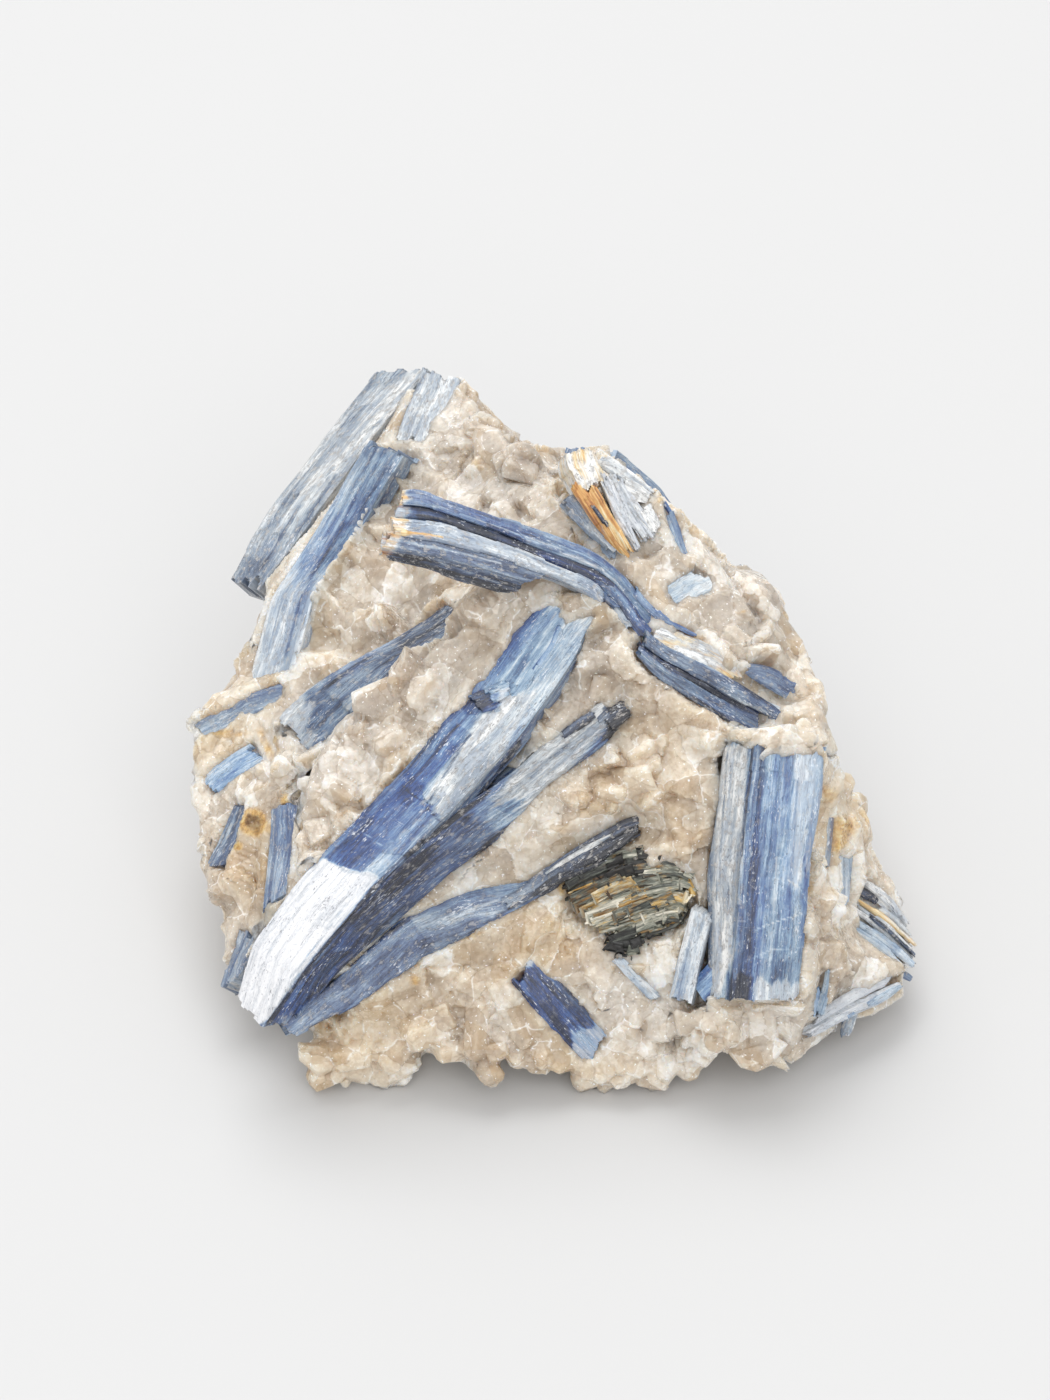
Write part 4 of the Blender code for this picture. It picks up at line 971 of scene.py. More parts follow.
# ---------------------------------------------------------------- kyanite blades
# name: (tone, frost, rust, lamella width mm, relief mm, ragged ends mm, seed)
STYLE = {
    "front_blade_sheaf": (0.47, 0.08, 0.00, 0.20, 1.3, 0.05, 0.5, 1),
    "bent_blade": (0.55, 0.14, 0.06, 0.45, 0.8, 0.12, 0.5, 2),
    "upper_left_blade": (0.43, 0.10, 0.00, 0.30, 1.4, 0.06, 0.3, 3),
    "far_left_blade": (0.34, 0.22, 0.05, 0.80, 0.7, 0.10, 0.05, 4),
    "left_ledge_blade": (0.58, 0.08, 0.02, 0.55, 1.0, 0.09, 0.4, 5),
    "pale_left_blade": (0.20, 0.16, 0.02, 0.05, 0.9, 0.08, 0.3, 6),
    "grey_left_blade": (0.40, 0.30, 0.15, 0.60, 0.6, 0.10, 0.5, 7),
    "left_lower_blade": (0.50, 0.25, 0.05, 0.50, 0.6, 0.10, 0.4, 8),
    "left_outer_blade": (0.55, 0.20, 0.08, 0.70, 0.6, 0.10, 0.5, 9),
    "left_tail_blade": (0.45, 0.30, 0.06, 0.70, 0.6, 0.10, 0.6, 10),
    "deep_blue_blade": (0.80, 0.00, 0.00, 0.08, 1.2, 0.06, 0.5, 11),
    "upright_blade": (0.46, 0.14, 0.00, 0.20, 0.9, 0.07, 0.25, 12),
    "small_pale_blade": (0.20, 0.26, 0.00, 0.60, 1.6, 0.04, 0.15, 13),
    "blue_chip": (0.50, 0.10, 0.00, 0.05, 0.6, 0.05, 0.3, 14),
    "thin_sliver": (0.28, 0.15, 0.00, 0.45, 0.5, 0.05, 0.4, 15),
    "rusty_top_blade": (0.25, 0.60, 0.20, 0.50, 0.4, 0.16, 0.9, 16),
    "top_edge_blade": (0.50, 0.25, 0.08, 0.40, 0.5, 0.08, 0.4, 17),
    "speckled_sliver": (0.42, 0.40, 0.10, 0.60, 0.4, 0.08, 0.4, 18),
    "glassy_blade": (0.26, 0.08, 0.02, 0.25, 1.0, 0.05, 0.4, 19),
    "right_fragment": (0.42, 0.30, 0.15, 0.40, 0.6, 0.08, 0.4, 20),
    "right_foot_blade": (0.28, 0.55, 0.12, 0.60, 0.4, 0.14, 0.8, 21),
    "right_edge_blade": (0.14, 0.70, 0.02, 0.20, 0.5, 0.12, 0.7, 22),
    "right_grey_blade": (0.26, 0.40, 0.04, 0.40, 0.7, 0.08, 0.4, 23),
    "brown_sliver": (0.45, 0.35, 0.40, 0.80, 0.4, 0.08, 0.4, 24),
    "small_blue_blade": (0.34, 0.25, 0.00, 0.10, 0.6, 0.05, 0.3, 25),
    "altered_book": (0.85, 0.05, 0.50, 0.90, 0.4, 0.20, 0.9, 26),
    "back_long_blade": (0.52, 0.12, 0.02, 0.20, 1.1, 0.08, 0.6, 27),
    "back_cross_blade": (0.40, 0.18, 0.03, 0.20, 1.0, 0.09, 0.6, 28),
    "back_low_blade": (0.58, 0.15, 0.06, 0.40, 0.8, 0.09, 0.6, 29),
    "left_rear_blade": (0.46, 0.20, 0.05, 0.30, 0.9, 0.09, 0.5, 30),
    "right_side_blade": (0.40, 0.15, 0.02, 0.20, 1.0, 0.09, 0.5, 31),
    "right_rear_blade": (0.60, 0.12, 0.05, 0.40, 0.9, 0.09, 0.5, 32),
}

# Character of the visible blades. Each entry is an outline on the layout sheet (area) or a
# line of some half width (line) on the pieces named, and how it changes tone, frost, rust and
# slate there.
AREAS = [
    # front blade: painted glare (white) on the lower end, royal blue stretch, deep strip, silvery strip, upper part
    ("front_blade_sheaf", [(228, 1004), (262, 925), (300, 878), (325, 858), (345, 870), (378, 876), (340, 925), (300, 975), (268, 1018), (246, 1030)], 2, 0.15, -0.7, 1.05, 0, -0.2),
    ("front_blade_sheaf", [(325, 858), (402, 768), (440, 800), (400, 858), (378, 876), (345, 870)], 2, 0.1, 0.10, -0.10, 0, -0.1),
    ("front_blade_sheaf", [(402, 766), (466, 696), (492, 690), (470, 735), (425, 790), (402, 790)], 3, 0.4, 0.06, 0.0, 0, -0.1),
    ("front_blade_sheaf", [(425, 800), (470, 733), (498, 690), (526, 703), (505, 748), (480, 782), (440, 822)], 4, 0.8, -0.20, 0.42, 0, 0.45),
    ("front_blade_sheaf", [(462, 696), (497, 688), (499, 712), (466, 714)], 2, 0.2, 0.30, -0.4, 0, -0.2),
    ("front_blade_sheaf", [(480, 684), (515, 628), (550, 590), (575, 600), (560, 640), (520, 700)], 8, 1.0, -0.02, -0.04, 0, -0.2),
    ("front_blade_sheaf", [(520, 700), (560, 640), (580, 600), (600, 606), (578, 660), (530, 718)], 10, 1.0, -0.14, 0.14, 0, 0.2),
    ("front_blade_sheaf", [(545, 572), (600, 578), (600, 612), (552, 606)], 10, 0.8, -0.25, 0.30, 0, 0.2),
    ("front_blade_sheaf", [(346, 868), (372, 832), (392, 812), (408, 806), (434, 824), (402, 860), (378, 877)], 5, 0.5, -0.12, 0.04, 0, 0.15),
    # second and third blades
    ("front_blade_sheaf", [(270, 1030), (350, 925), (404, 868), (470, 815), (500, 838), (440, 885), (380, 940), (300, 1006), (280, 1024)], 6, 0.8, 0.22, 0.06, 0, 0.25),
    ("front_blade_sheaf", [(280, 1012), (345, 938), (362, 946), (300, 1008)], 4, 0.6, 0.0, -0.25, 0, -0.45),
    ("front_blade_sheaf", [(284, 1006), (302, 962), (346, 906), (400, 862), (436, 850), (402, 904), (344, 962), (302, 1006)], 7, 1.0, 0.14, -0.10, 0, 0.0),
    ("front_blade_sheaf", [(292, 1036), (330, 988), (400, 944), (470, 926), (468, 946), (400, 984), (332, 1024)], 7, 1.0, 0.10, -0.06, 0, 0.1),
    ("front_blade_sheaf", [(450, 752), (505, 745), (512, 790), (462, 822)], 10, 1.0, 0.08, -0.04, 0, 0.1),
    ("front_blade_sheaf", [(500, 800), (557, 720), (600, 695), (612, 716), (580, 760), (530, 806)], 8, 1.0, -0.22, 0.26, 0.0, 0.7),
    ("front_blade_sheaf", [(606, 690), (646, 692), (646, 722), (610, 736)], 4, 0.4, 0.50, -0.30, 0, 0.8),
    ("front_blade_sheaf", [(272, 1036), (340, 980), (420, 918), (500, 896), (500, 915), (440, 950), (340, 1010), (290, 1044)], 6, 0.8, -0.08, 0.06, 0, 0.35),
    ("front_blade_sheaf", [(540, 890), (600, 846), (646, 822), (646, 838), (600, 866), (545, 905)], 5, 0.6, 0.42, 0.10, 0.05, 0.7),
    # bent blade
    ("bent_blade", [(378, 488), (404, 485), (406, 512), (394, 553), (378, 553)], 5, 0.4, -0.40, 0.25, 0.50, 0.5),
    # upright blade: dark side (slate grey, partly its own colour and partly painted shade on the side face that turns
    # left and down), cream-grey strip, deep blue band, light face, pale right
    ("upright_blade", [(698, 742), (722, 742), (714, 860), (708, 1008), (698, 1008)], 4, 0.5, 0.12, 0.02, 0, 0.75),
    ("upright_blade", [(724, 740), (747, 740), (739, 860), (730, 960), (714, 1004), (714, 880)], 4, 0.6, -0.24, 0.34, 0.16, 0.8),
    ("upright_blade", [(750, 742), (764, 742), (757, 860), (752, 960), (748, 1004), (730, 1004), (734, 960), (742, 860)], 3, 0.6, 0.22, -0.22, 0, 0.05),
    ("upright_blade", [(768, 745), (800, 748), (796, 960), (760, 960)], 6, 1.0, -0.12, 0.0, 0, -0.1),
    ("upright_blade", [(798, 750), (826, 748), (816, 870), (792, 880)], 6, 1.0, -0.22, 0.34, 0, 0.1),
    ("upright_blade", [(728, 978), (752, 975), (752, 1004), (728, 1004)], 3, 0.4, 0.35, -0.3, 0, -0.1),
    ("upright_blade", [(752, 985), (802, 985), (802, 1006), (752, 1006)], 4, 0.6, -0.3, 0.5, 0.20, 0.2),
    # far left bundle, upper left blade
    ("far_left_blade upper_left_blade", [(220, 556), (264, 562), (264, 604), (220, 604)], 6, 0.8, 0.20, 0.0, 0.05, 0.3),
    ("far_left_blade upper_left_blade", [(300, 470), (345, 420), (420, 365), (470, 372), (440, 440), (330, 500)], 10, 1.0, -0.10, 0.12, 0.12, 0.1),
    ("far_left_blade upper_left_blade", [(392, 440), (398, 452), (350, 545), (310, 620), (296, 612), (345, 520)], 4, 1.0, 0.14, -0.12, 0, -0.1),
    ("far_left_blade upper_left_blade", [(236, 590), (340, 580), (300, 695), (236, 695)], 14, 1.0, -0.22, 0.30, 0, 0.3),
    # ledge blade and its pale end
    ("left_ledge_blade", [(266, 696), (302, 688), (306, 752), (276, 758)], 10, 0.8, -0.30, 0.35, 0, 0.3),
    ("left_ledge_blade", [(385, 630), (440, 596), (464, 608), (440, 628), (400, 648)], 5, 0.8, 0.22, 0.02, 0, 0.4),
    # deep blue blade
    ("deep_blue_blade", [(500, 940), (536, 950), (528, 966), (504, 976)], 4, 0.5, -0.5, 0.7, 0, 0.2),
    ("deep_blue_blade", [(578, 1032), (612, 1026), (624, 1050), (585, 1072), (572, 1052)], 4, 0.7, -0.4, 0.62, 0, 0),
]

# Lines on the sheet: points, half width, change of tone, frost, rust and slate.
LINES = [
    ("front_blade_sheaf", [(350, 824), (364, 833), (382, 846)], 0.9, -0.3, 0.7, 0, 0),
    ("front_blade_sheaf", [(402, 786), (420, 800), (440, 822)], 1.3, 0.35, -0.4, 0, 0.3),
    ("front_blade_sheaf", [(325, 858), (345, 871), (378, 877)], 1.6, 0.3, -0.5, 0, 0.1),
    ("front_blade_sheaf", [(345, 905), (320, 940), (290, 978)], 1.2, 0.4, -0.8, 0, 0.3),
    ("front_blade_sheaf", [(300, 905), (272, 945), (252, 990)], 1.2, 0.25, -0.6, 0, 0.3),
    ("front_blade_sheaf", [(468, 714), (440, 748), (418, 776)], 1.6, 0.25, -0.4, 0, 0.1),
    ("front_blade_sheaf", [(470, 735), (448, 768), (430, 800)], 2.0, 0.5, -0.8, 0, 0.4),
    ("front_blade_sheaf", [(500, 700), (478, 735), (455, 770)], 1.6, 0.2, -0.3, 0, 0.2),
    ("front_blade_sheaf", [(466, 697), (480, 692), (498, 690)], 1.6, -0.5, 1.0, 0, 0),
    ("front_blade_sheaf", [(530, 640), (506, 676), (490, 700)], 1.8, -0.3, 0.7, 0, 0),
    ("front_blade_sheaf", [(556, 612), (536, 650), (516, 684)], 1.6, -0.3, 0.7, 0, 0),
    ("front_blade_sheaf", [(520, 744), (480, 798), (440, 830), (400, 860), (350, 915), (300, 975), (268, 1022)], 5.0, 0.6, -0.7, 0, 0.6),
    ("front_blade_sheaf", [(590, 722), (560, 752), (530, 778)], 1.8, 0.4, -0.6, 0, 0.5),
    ("front_blade_sheaf", [(600, 730), (572, 757), (545, 780)], 1.4, -0.4, 0.8, 0, 0.1),
    ("front_blade_sheaf", [(605, 738), (565, 775), (515, 820), (470, 860), (425, 903), (380, 940), (300, 1005)], 1.8, 0.4, -0.5, 0, 0.5),
    ("front_blade_sheaf", [(430, 862), (400, 890), (360, 930)], 1.6, 0.35, -0.4, 0, 0.2),
    ("front_blade_sheaf", [(360, 935), (330, 964), (300, 996)], 1.6, -0.1, -0.2, 0, -0.4),
    ("front_blade_sheaf", [(640, 828), (590, 855), (540, 887), (500, 915), (460, 940), (420, 965), (370, 1000), (310, 1028)], 2.0, 0.5, -0.6, 0, 0.5),
    ("front_blade_sheaf", [(500, 900), (450, 915), (400, 940)], 1.4, -0.3, 0.6, 0, 0.1),
    # bent blade streaks
    ("bent_blade", [(402, 503), (440, 507), (500, 527), (560, 549), (604, 570)], 1.4, -0.4, 0.8, 0.05, 0.2),
    ("bent_blade", [(440, 505), (480, 519), (540, 540)], 1.4, 0.25, -0.4, 0, 0),
    ("bent_blade", [(560, 552), (600, 568), (624, 590)], 1.2, -0.4, 0.8, 0, 0.1),
    ("bent_blade", [(404, 532), (425, 534), (442, 537)], 3.4, -0.3, 0.3, 1.0, 0.1),
    ("bent_blade", [(430, 530), (480, 540), (530, 556), (560, 570)], 1.2, 0.35, -0.6, 0, 0.2),
    ("bent_blade", [(410, 544), (450, 551), (500, 563)], 1.4, -0.3, 0.5, 0.05, 0.2),
    ("bent_blade", [(440, 563), (470, 573), (500, 584)], 1.4, -0.45, 0.8, 0.05, 0.2),
    ("bent_blade", [(655, 668), (690, 694), (730, 722), (760, 737)], 1.8, 0.35, -0.5, 0, 0.2),
    ("bent_blade", [(660, 660), (700, 682), (745, 705), (780, 716)], 1.5, -0.3, 0.7, 0, 0.2),
    # upright blade
    ("upright_blade", [(760, 745), (745, 830), (740, 900), (733, 960)], 1.6, -0.3, 0.8, 0, 0.3),
    ("upright_blade", [(728, 745), (722, 830), (716, 900)], 1.4, 0.4, -0.6, 0, 0.6),
    ("upright_blade", [(740, 745), (733, 830), (726, 920)], 1.2, 0.2, -0.4, 0.1, 0.5),
    ("upright_blade", [(784, 748), (778, 840), (770, 960)], 1.4, -0.2, 0.6, 0, 0),
    ("upright_blade", [(800, 750), (794, 840), (788, 930)], 1.4, 0.2, -0.3, 0, 0.1),
    ("upright_blade", [(812, 752), (806, 830), (800, 900)], 1.2, 0.2, -0.3, 0, 0.1),
    ("upright_blade", [(755, 930), (775, 922), (802, 914)], 1.1, -0.4, 0.8, 0, 0),
    ("upright_blade", [(788, 880), (800, 888), (810, 908)], 0.9, -0.3, 0.6, 0, 0),
    ("upright_blade", [(745, 962), (770, 950), (800, 948)], 0.9, -0.3, 0.6, 0, 0),
    # upper left blades
    ("far_left_blade upper_left_blade left_ledge_blade", [(378, 442), (345, 520), (300, 600), (285, 660)], 1.8, 0.2, -0.4, 0, 0),
    ("far_left_blade upper_left_blade left_ledge_blade", [(368, 470), (335, 530), (305, 580)], 1.4, -0.2, 0.5, 0, 0),
    ("far_left_blade upper_left_blade left_ledge_blade", [(425, 375), (400, 410), (360, 435), (325, 492), (290, 545)], 2.4, 0.3, -0.5, 0, 0.3),
    ("far_left_blade upper_left_blade left_ledge_blade", [(400, 372), (350, 420), (300, 480), (262, 540)], 2.0, 0.2, -0.4, 0.05, 0.4),
    ("far_left_blade upper_left_blade left_ledge_blade", [(380, 376), (330, 430), (280, 500), (245, 560)], 1.6, -0.2, 0.4, 0, 0.2),
    ("far_left_blade upper_left_blade left_ledge_blade", [(320, 475), (295, 500), (280, 518)], 3.0, 0.1, -0.5, 0.25, 0.8),
    ("far_left_blade upper_left_blade left_ledge_blade", [(440, 606), (400, 640), (350, 668), (310, 700)], 2.0, 0.3, -0.4, 0, 0.6),
    ("far_left_blade upper_left_blade left_ledge_blade", [(450, 630), (400, 660), (350, 706), (318, 740)], 1.6, -0.3, 0.6, 0, 0),
]


def line_mask(sheet, points, half, wobble):
    """1 along a line on the sheet, hard-edged, with a width that varies along it."""
    x, y = sheet[:, 0], sheet[:, 1]
    dist = np.full(len(x), 1e9)
    for (x0, y0), (x1, y1) in zip(points, points[1:]):
        ex, ey = x1 - x0, y1 - y0
        t = np.clip(((x - x0) * ex + (y - y0) * ey) / (ex * ex + ey * ey), 0, 1)
        dist = np.minimum(dist, np.hypot(x - x0 - t * ex, y - y0 - t * ey))
    return 0.75 * np.clip(0.6 * half * (0.1 + 1.6 * wobble) + 0.5 - dist, 0, 1)


def area_mask(sheet, outline, soft):
    """1 inside an outline on the sheet, falling to 0 over soft units outside it."""
    x, y = sheet[:, 0], sheet[:, 1]
    pts = np.array(outline, float)
    inside = np.zeros(len(x), bool)
    dist = np.full(len(x), 1e9)
    for (x0, y0), (x1, y1) in zip(pts, np.roll(pts, -1, axis=0)):
        crosses = (y0 > y) != (y1 > y)
        with np.errstate(divide="ignore", invalid="ignore"):
            xi = (x1 - x0) * (y - y0) / (y1 - y0 + 1e-12) + x0
        inside ^= crosses & (x < xi)
        ex, ey = x1 - x0, y1 - y0
        t = np.clip(((x - x0) * ex + (y - y0) * ey) / (ex * ex + ey * ey), 0, 1)
        dist = np.minimum(dist, np.hypot(x - x0 - t * ex, y - y0 - t * ey))
    return np.where(inside, 1.0, np.clip(1 - dist / soft, 0, 1))


FINE = {"front_blade_sheaf": 0.15, "bent_blade": 0.15, "upright_blade": 0.15, "deep_blue_blade": 0.15,
        "rusty_top_blade": 0.15, "altered_book": 0.15, "right_foot_blade": 0.15}


def strip(top, bottom, w_top, w_bottom, thick):
    """A slab between two lines on the sheet, each at its own height towards the eye."""
    n = len(top)
    wt = np.interp(np.linspace(0, 1, n), np.linspace(0, 1, len(w_top)), w_top)
    wb = np.interp(np.linspace(0, 1, n), np.linspace(0, 1, len(w_bottom)), w_bottom)
    return (THIN, thick, [(S(*a, wa), S(*b, wb_)) for a, b, wa, wb_ in zip(top, bottom, wt, wb)])


def lath(points, width, w, thick, lean=0.0):
    """A slab along a line on the sheet; width in sheet units, lean lowers its lower edge."""
    pts = np.array(points, float)
    n = len(pts)
    wid = np.interp(np.linspace(0, 1, n), np.linspace(0, 1, len(width)), width) / 2
    ws = np.interp(np.linspace(0, 1, n), np.linspace(0, 1, len(w)), w)
    d = np.gradient(pts, axis=0)
    d /= np.linalg.norm(d, axis=1)[:, None]
    nrm = np.stack([d[:, 1], -d[:, 0]], 1)
    nrm *= np.where(nrm[:, 1] > 0, -1.0, 1.0)[:, None]
    a, b = pts + nrm * wid[:, None], pts - nrm * wid[:, None]
    return (THIN, thick, [(S(*p, h + lean / 2), S(*q, h - lean / 2)) for p, q, h in zip(a, b, ws)])


def dark_end():
    """The dark upper end of the front sheaf's third blade."""
    return lath([(500, 905), (520, 896), (540, 884), (560, 870), (582, 857), (604, 844), (624, 832), (643, 823)], [13, 16, 17, 18, 22, 23, 22, 15], [-1.9, -1.7, -1.5, -1.2, -1.0, -0.9, -0.9, -1.1], 2.0)


def look_of(name):
    """The laths a blade's look is built from: (slab, tone, frost, rust, slate, lamella, relief, ragged)."""
    if name == "bent_blade":
        U = [(397, 489), (420, 488), (440, 496), (480, 509), (520, 522), (560, 536), (587, 547), (606, 557), (628, 576), (642, 597), (655, 614), (672, 628)]
        A = [(394, 505), (420, 506), (440, 510), (480, 524), (520, 540), (560, 555), (585, 564), (602, 571), (620, 584), (630, 600), (641, 616), (655, 632)]
        B = [(391, 516), (420, 518), (440, 522), (480, 534), (520, 549), (560, 566), (582, 576), (596, 584), (610, 597), (618, 610), (630, 625), (642, 638)]
        C = [(386, 531), (416, 537), (440, 541), (480, 552), (520, 564), (550, 576), (572, 586), (590, 596), (602, 604)]
        D = [(378, 546), (416, 553), (440, 557), (480, 567), (514, 577), (530, 584)]
        E = [(382, 558), (420, 567), (440, 574), (475, 586), (500, 594), (512, 594)]
        return [
            (strip(U, A, [0.5, 1.1, 1.4, 1.3, 0.8, 0.2, -0.4, -0.7], [1.1, 1.6, 1.8, 1.7, 1.2, 0.7, 0.2, -0.2], 2.0), 0.52, 0.10, 0.04, 0.30, 0.5, 0.07, 0.5),
            # the navy lath is the steep side of the top lath; its dark tone is partly its own colour and partly painted
            # shade
            (strip(A[:9], B[:9], [0.9, 1.3, 1.5, 1.4, 1.0, 0.5], [1.1, 1.5, 1.7, 1.5, 1.2, 0.7], 1.8), 0.90, -0.1, 0.0, 0.10, 0.9, 0.03, 0.4),
            (strip(A[6:], B[6:], [0.85, 0.65, 0.5, 0.35, 0.2, 0.0], [1.0, 0.9, 0.7, 0.55, 0.4, 0.3], 1.9), 0.62, 0.12, 0.0, 0.2, 0.5, 0.05, 0.1),
            (strip(B[:9], C, [1.7, 2.1, 2.2, 2.0, 1.6, 1.2], [2.3, 2.7, 2.7, 2.3, 1.9, 1.4], 2.2), 0.40, 0.42, 0.12, 0.75, 0.35, 0.09, 0.5),
            (strip(C[:6], D, [2.2, 2.6, 2.6, 2.2], [2.6, 2.9, 2.8, 2.3], 2.2), 0.46, 0.16, 0.04, 0.75, 0.6, 0.06, 0.5),
            # the underside lath turns down: dark slate, partly its own colour and partly painted shade
            (strip(D, E, [2.5, 2.9, 2.7, 2.2], [1.4, 1.7, 1.5, 1.2], 1.6), 0.84, -0.02, 0.06, 0.95, 0.5, 0.07, 0.4),
            (lath([(572, 582), (590, 590), (606, 598), (620, 610)], [9, 10, 7], [1.2, 1.2, 1.0], 1.5), 0.72, 0.1, 0.0, 0.2, 0.8, 0.05, 0.3),
            (lath([(584, 596), (600, 600), (614, 609), (630, 630)], [8, 16, 14, 8], [1.0, 0.9, 0.8, 0.6], 2.2), 0.42, 0.35, 0.0, 0.75, 0.6, 0.05, 0.3),
            (lath([(633, 588), (645, 602), (656, 614), (674, 625)], [7, 9, 7], [0.3, 0.1, -0.2], 1.4), 0.40, 0.3, 0.0, 0.35, 0.5, 0.05, 0.4),
            (lath([(664, 620), (680, 628), (698, 637)], [6, 7, 5], [0.1, -0.1, -0.3], 1.2), 0.52, 0.2, 0.0, 0.3, 0.6, 0.05, 0.4),
            # the lower half beyond the bend: a low ochre lath, then three blue ones
            (strip([(650, 620), (674, 628), (700, 638), (724, 650), (742, 668)], [(646, 632), (666, 648), (692, 660), (716, 672), (740, 686)],
                   [-0.3, -0.2, -0.3, -0.9, -1.9], [0.5, 0.6, 0.5, 0.0, -1.0], 2.2), 0.02, 0.30, 0.46, 0.9, 0.3, 0.10, 0.9),
            (strip([(643, 627), (664, 646), (690, 657), (714, 669), (740, 683), (768, 702), (790, 716)], [(638, 640), (660, 658), (686, 671), (710, 684), (736, 698), (762, 712), (782, 724)],
                   [0.6, 0.8, 0.8, 0.2, -0.6, -1.5], [0.9, 1.1, 1.0, 0.4, -0.4, -1.2], 2.0), 0.60, 0.16, 0.03, 0.65, 0.6, 0.07, 0.6),
            (strip([(638, 640), (660, 658), (686, 671), (710, 684), (736, 698), (764, 714)], [(636, 646), (657, 665), (684, 678), (708, 692), (733, 707), (762, 722)],
                   [0.7, 0.9, 0.8, 0.3, -0.6, -1.0], [0.9, 1.1, 1.0, 0.4, -0.5, -0.9], 2.0), 0.97, -0.05, 0.0, 0.30, 0.6, 0.05, 0.3),
            (strip([(636, 645), (657, 664), (684, 677), (708, 691), (733, 706), (764, 721)], [(636, 655), (656, 678), (688, 697), (714, 714), (742, 730), (762, 738)],
                   [1.1, 1.3, 1.2, 0.6, -0.3, -0.9], [0.8, 0.9, 0.8, 0.2, -0.8, -1.2], 2.2), 0.56, 0.18, 0.0, 0.50, 0.6, 0.07, 0.6),
            (lath([(746, 668), (768, 676), (794, 692)], [10, 20, 16], [-1.0, -1.3, -1.9], 1.6), 0.52, 0.2, 0.10, 0.7, 0.8, 0.06, 0.6),
            (lath([(762, 704), (780, 714), (797, 722)], [8, 12, 6], [-1.2, -1.5, -2.0], 1.6), 0.26, 0.3, 0.0, 0.6, 0.8, 0.06, 0.6),
        ]
    if name == "rusty_top_blade":
        laths = [
            # cream head, rust band with the dark slit in it
            (strip([(566, 452), (569, 466), (582, 492)], [(590, 445), (600, 462), (606, 484)], [-1.4, -1.0, -0.7], [-2.4, -2.2, -1.8], 3.0), -0.1, 0.1, 0.50, 1.0, 0.5, 0.10, 0.2),
            (lath([(571, 478), (584, 500), (600, 524), (616, 543), (631, 560)], [10, 12, 12, 8, 5], [-1.0, -0.7, -0.5, -0.6, -0.8], 2.6), 0.36, 0.15, 0.85, 0.9, 0.3, 0.12, 0.5),
            (lath([(590, 486), (600, 504), (612, 524), (624, 542), (634, 558)], [9, 9, 8, 6, 4], [-1.1, -0.8, -0.6, -0.6, -0.8], 2.6), 0.18, 0.1, 0.85, 0.9, 0.3, 0.12, 0.5),
            (lath([(592, 504), (600, 515), (609, 528)], [3, 5, 3], [-0.45, -0.3, -0.35], 1.2), 1.0, -0.5, -0.6, 1.0, 2.0, 0.02, 0.1),
            (lath([(562, 496), (578, 512), (595, 532), (611, 546), (624, 560)], [12, 16, 14, 10, 5], [-1.5, -1.1, -1.0, -0.9, -1.0], 1.8), 0.40, 0.35, 0.0, 1.0, 0.2, 0.16, 1.2),
            (lath([(622, 484), (636, 492), (652, 500)], [16, 18, 10], [-2.6, -2.6, -2.8], 2.0), 0.02, 0.3, 0.25, 0.9, 0.5, 0.08, 0.4),
            (lath([(598, 458), (616, 468), (634, 481), (655, 497)], [12, 14, 12, 6], [-3.2, -3.0, -2.9, -3.0], 2.2), 0.04, 0.5, 0.10, 0.8, 0.4, 0.08, 0.5),
            (lath([(640, 508), (648, 520), (658, 530)], [18, 20, 14], [-1.9, -1.7, -1.6], 2.2), 0.0, 0.2, 0.18, 0.9, 0.8, 0.06, 0.2),
        ]
        rng = np.random.default_rng(41)
        for i in range(15):
            t = i / 14
            x0, y0 = 600 + 22 * t, 474 + 8 * t + rng.uniform(-6, 4)
            x1, y1 = 634 + 22 * t + rng.uniform(-4, 4), 552 - 14 * t + rng.uniform(-10, 4)
            xm, ym = (x0 + x1) / 2 - 2, (y0 + y1) / 2 + 2
            h = -1.5 - 0.9 * t + rng.uniform(-0.15, 0.3)
            laths.append((lath([(x0, y0), (xm, ym), (x1, y1)], [3, rng.uniform(3.5, 6), rng.uniform(1, 3)], [h - 0.4, h + 0.2, h + 0.5], 1.6),
                          rng.uniform(-0.15, 0.08) + (0.3 if i % 5 == 2 else 0), 0.75, 0.12, rng.uniform(0.5, 1.0), 1.0, 0.03, 0.2))
        return laths
    if name == "front_blade_sheaf":
        base = [(slab, *STYLE[name][:7]) for slab in CRYSTALS[name]]
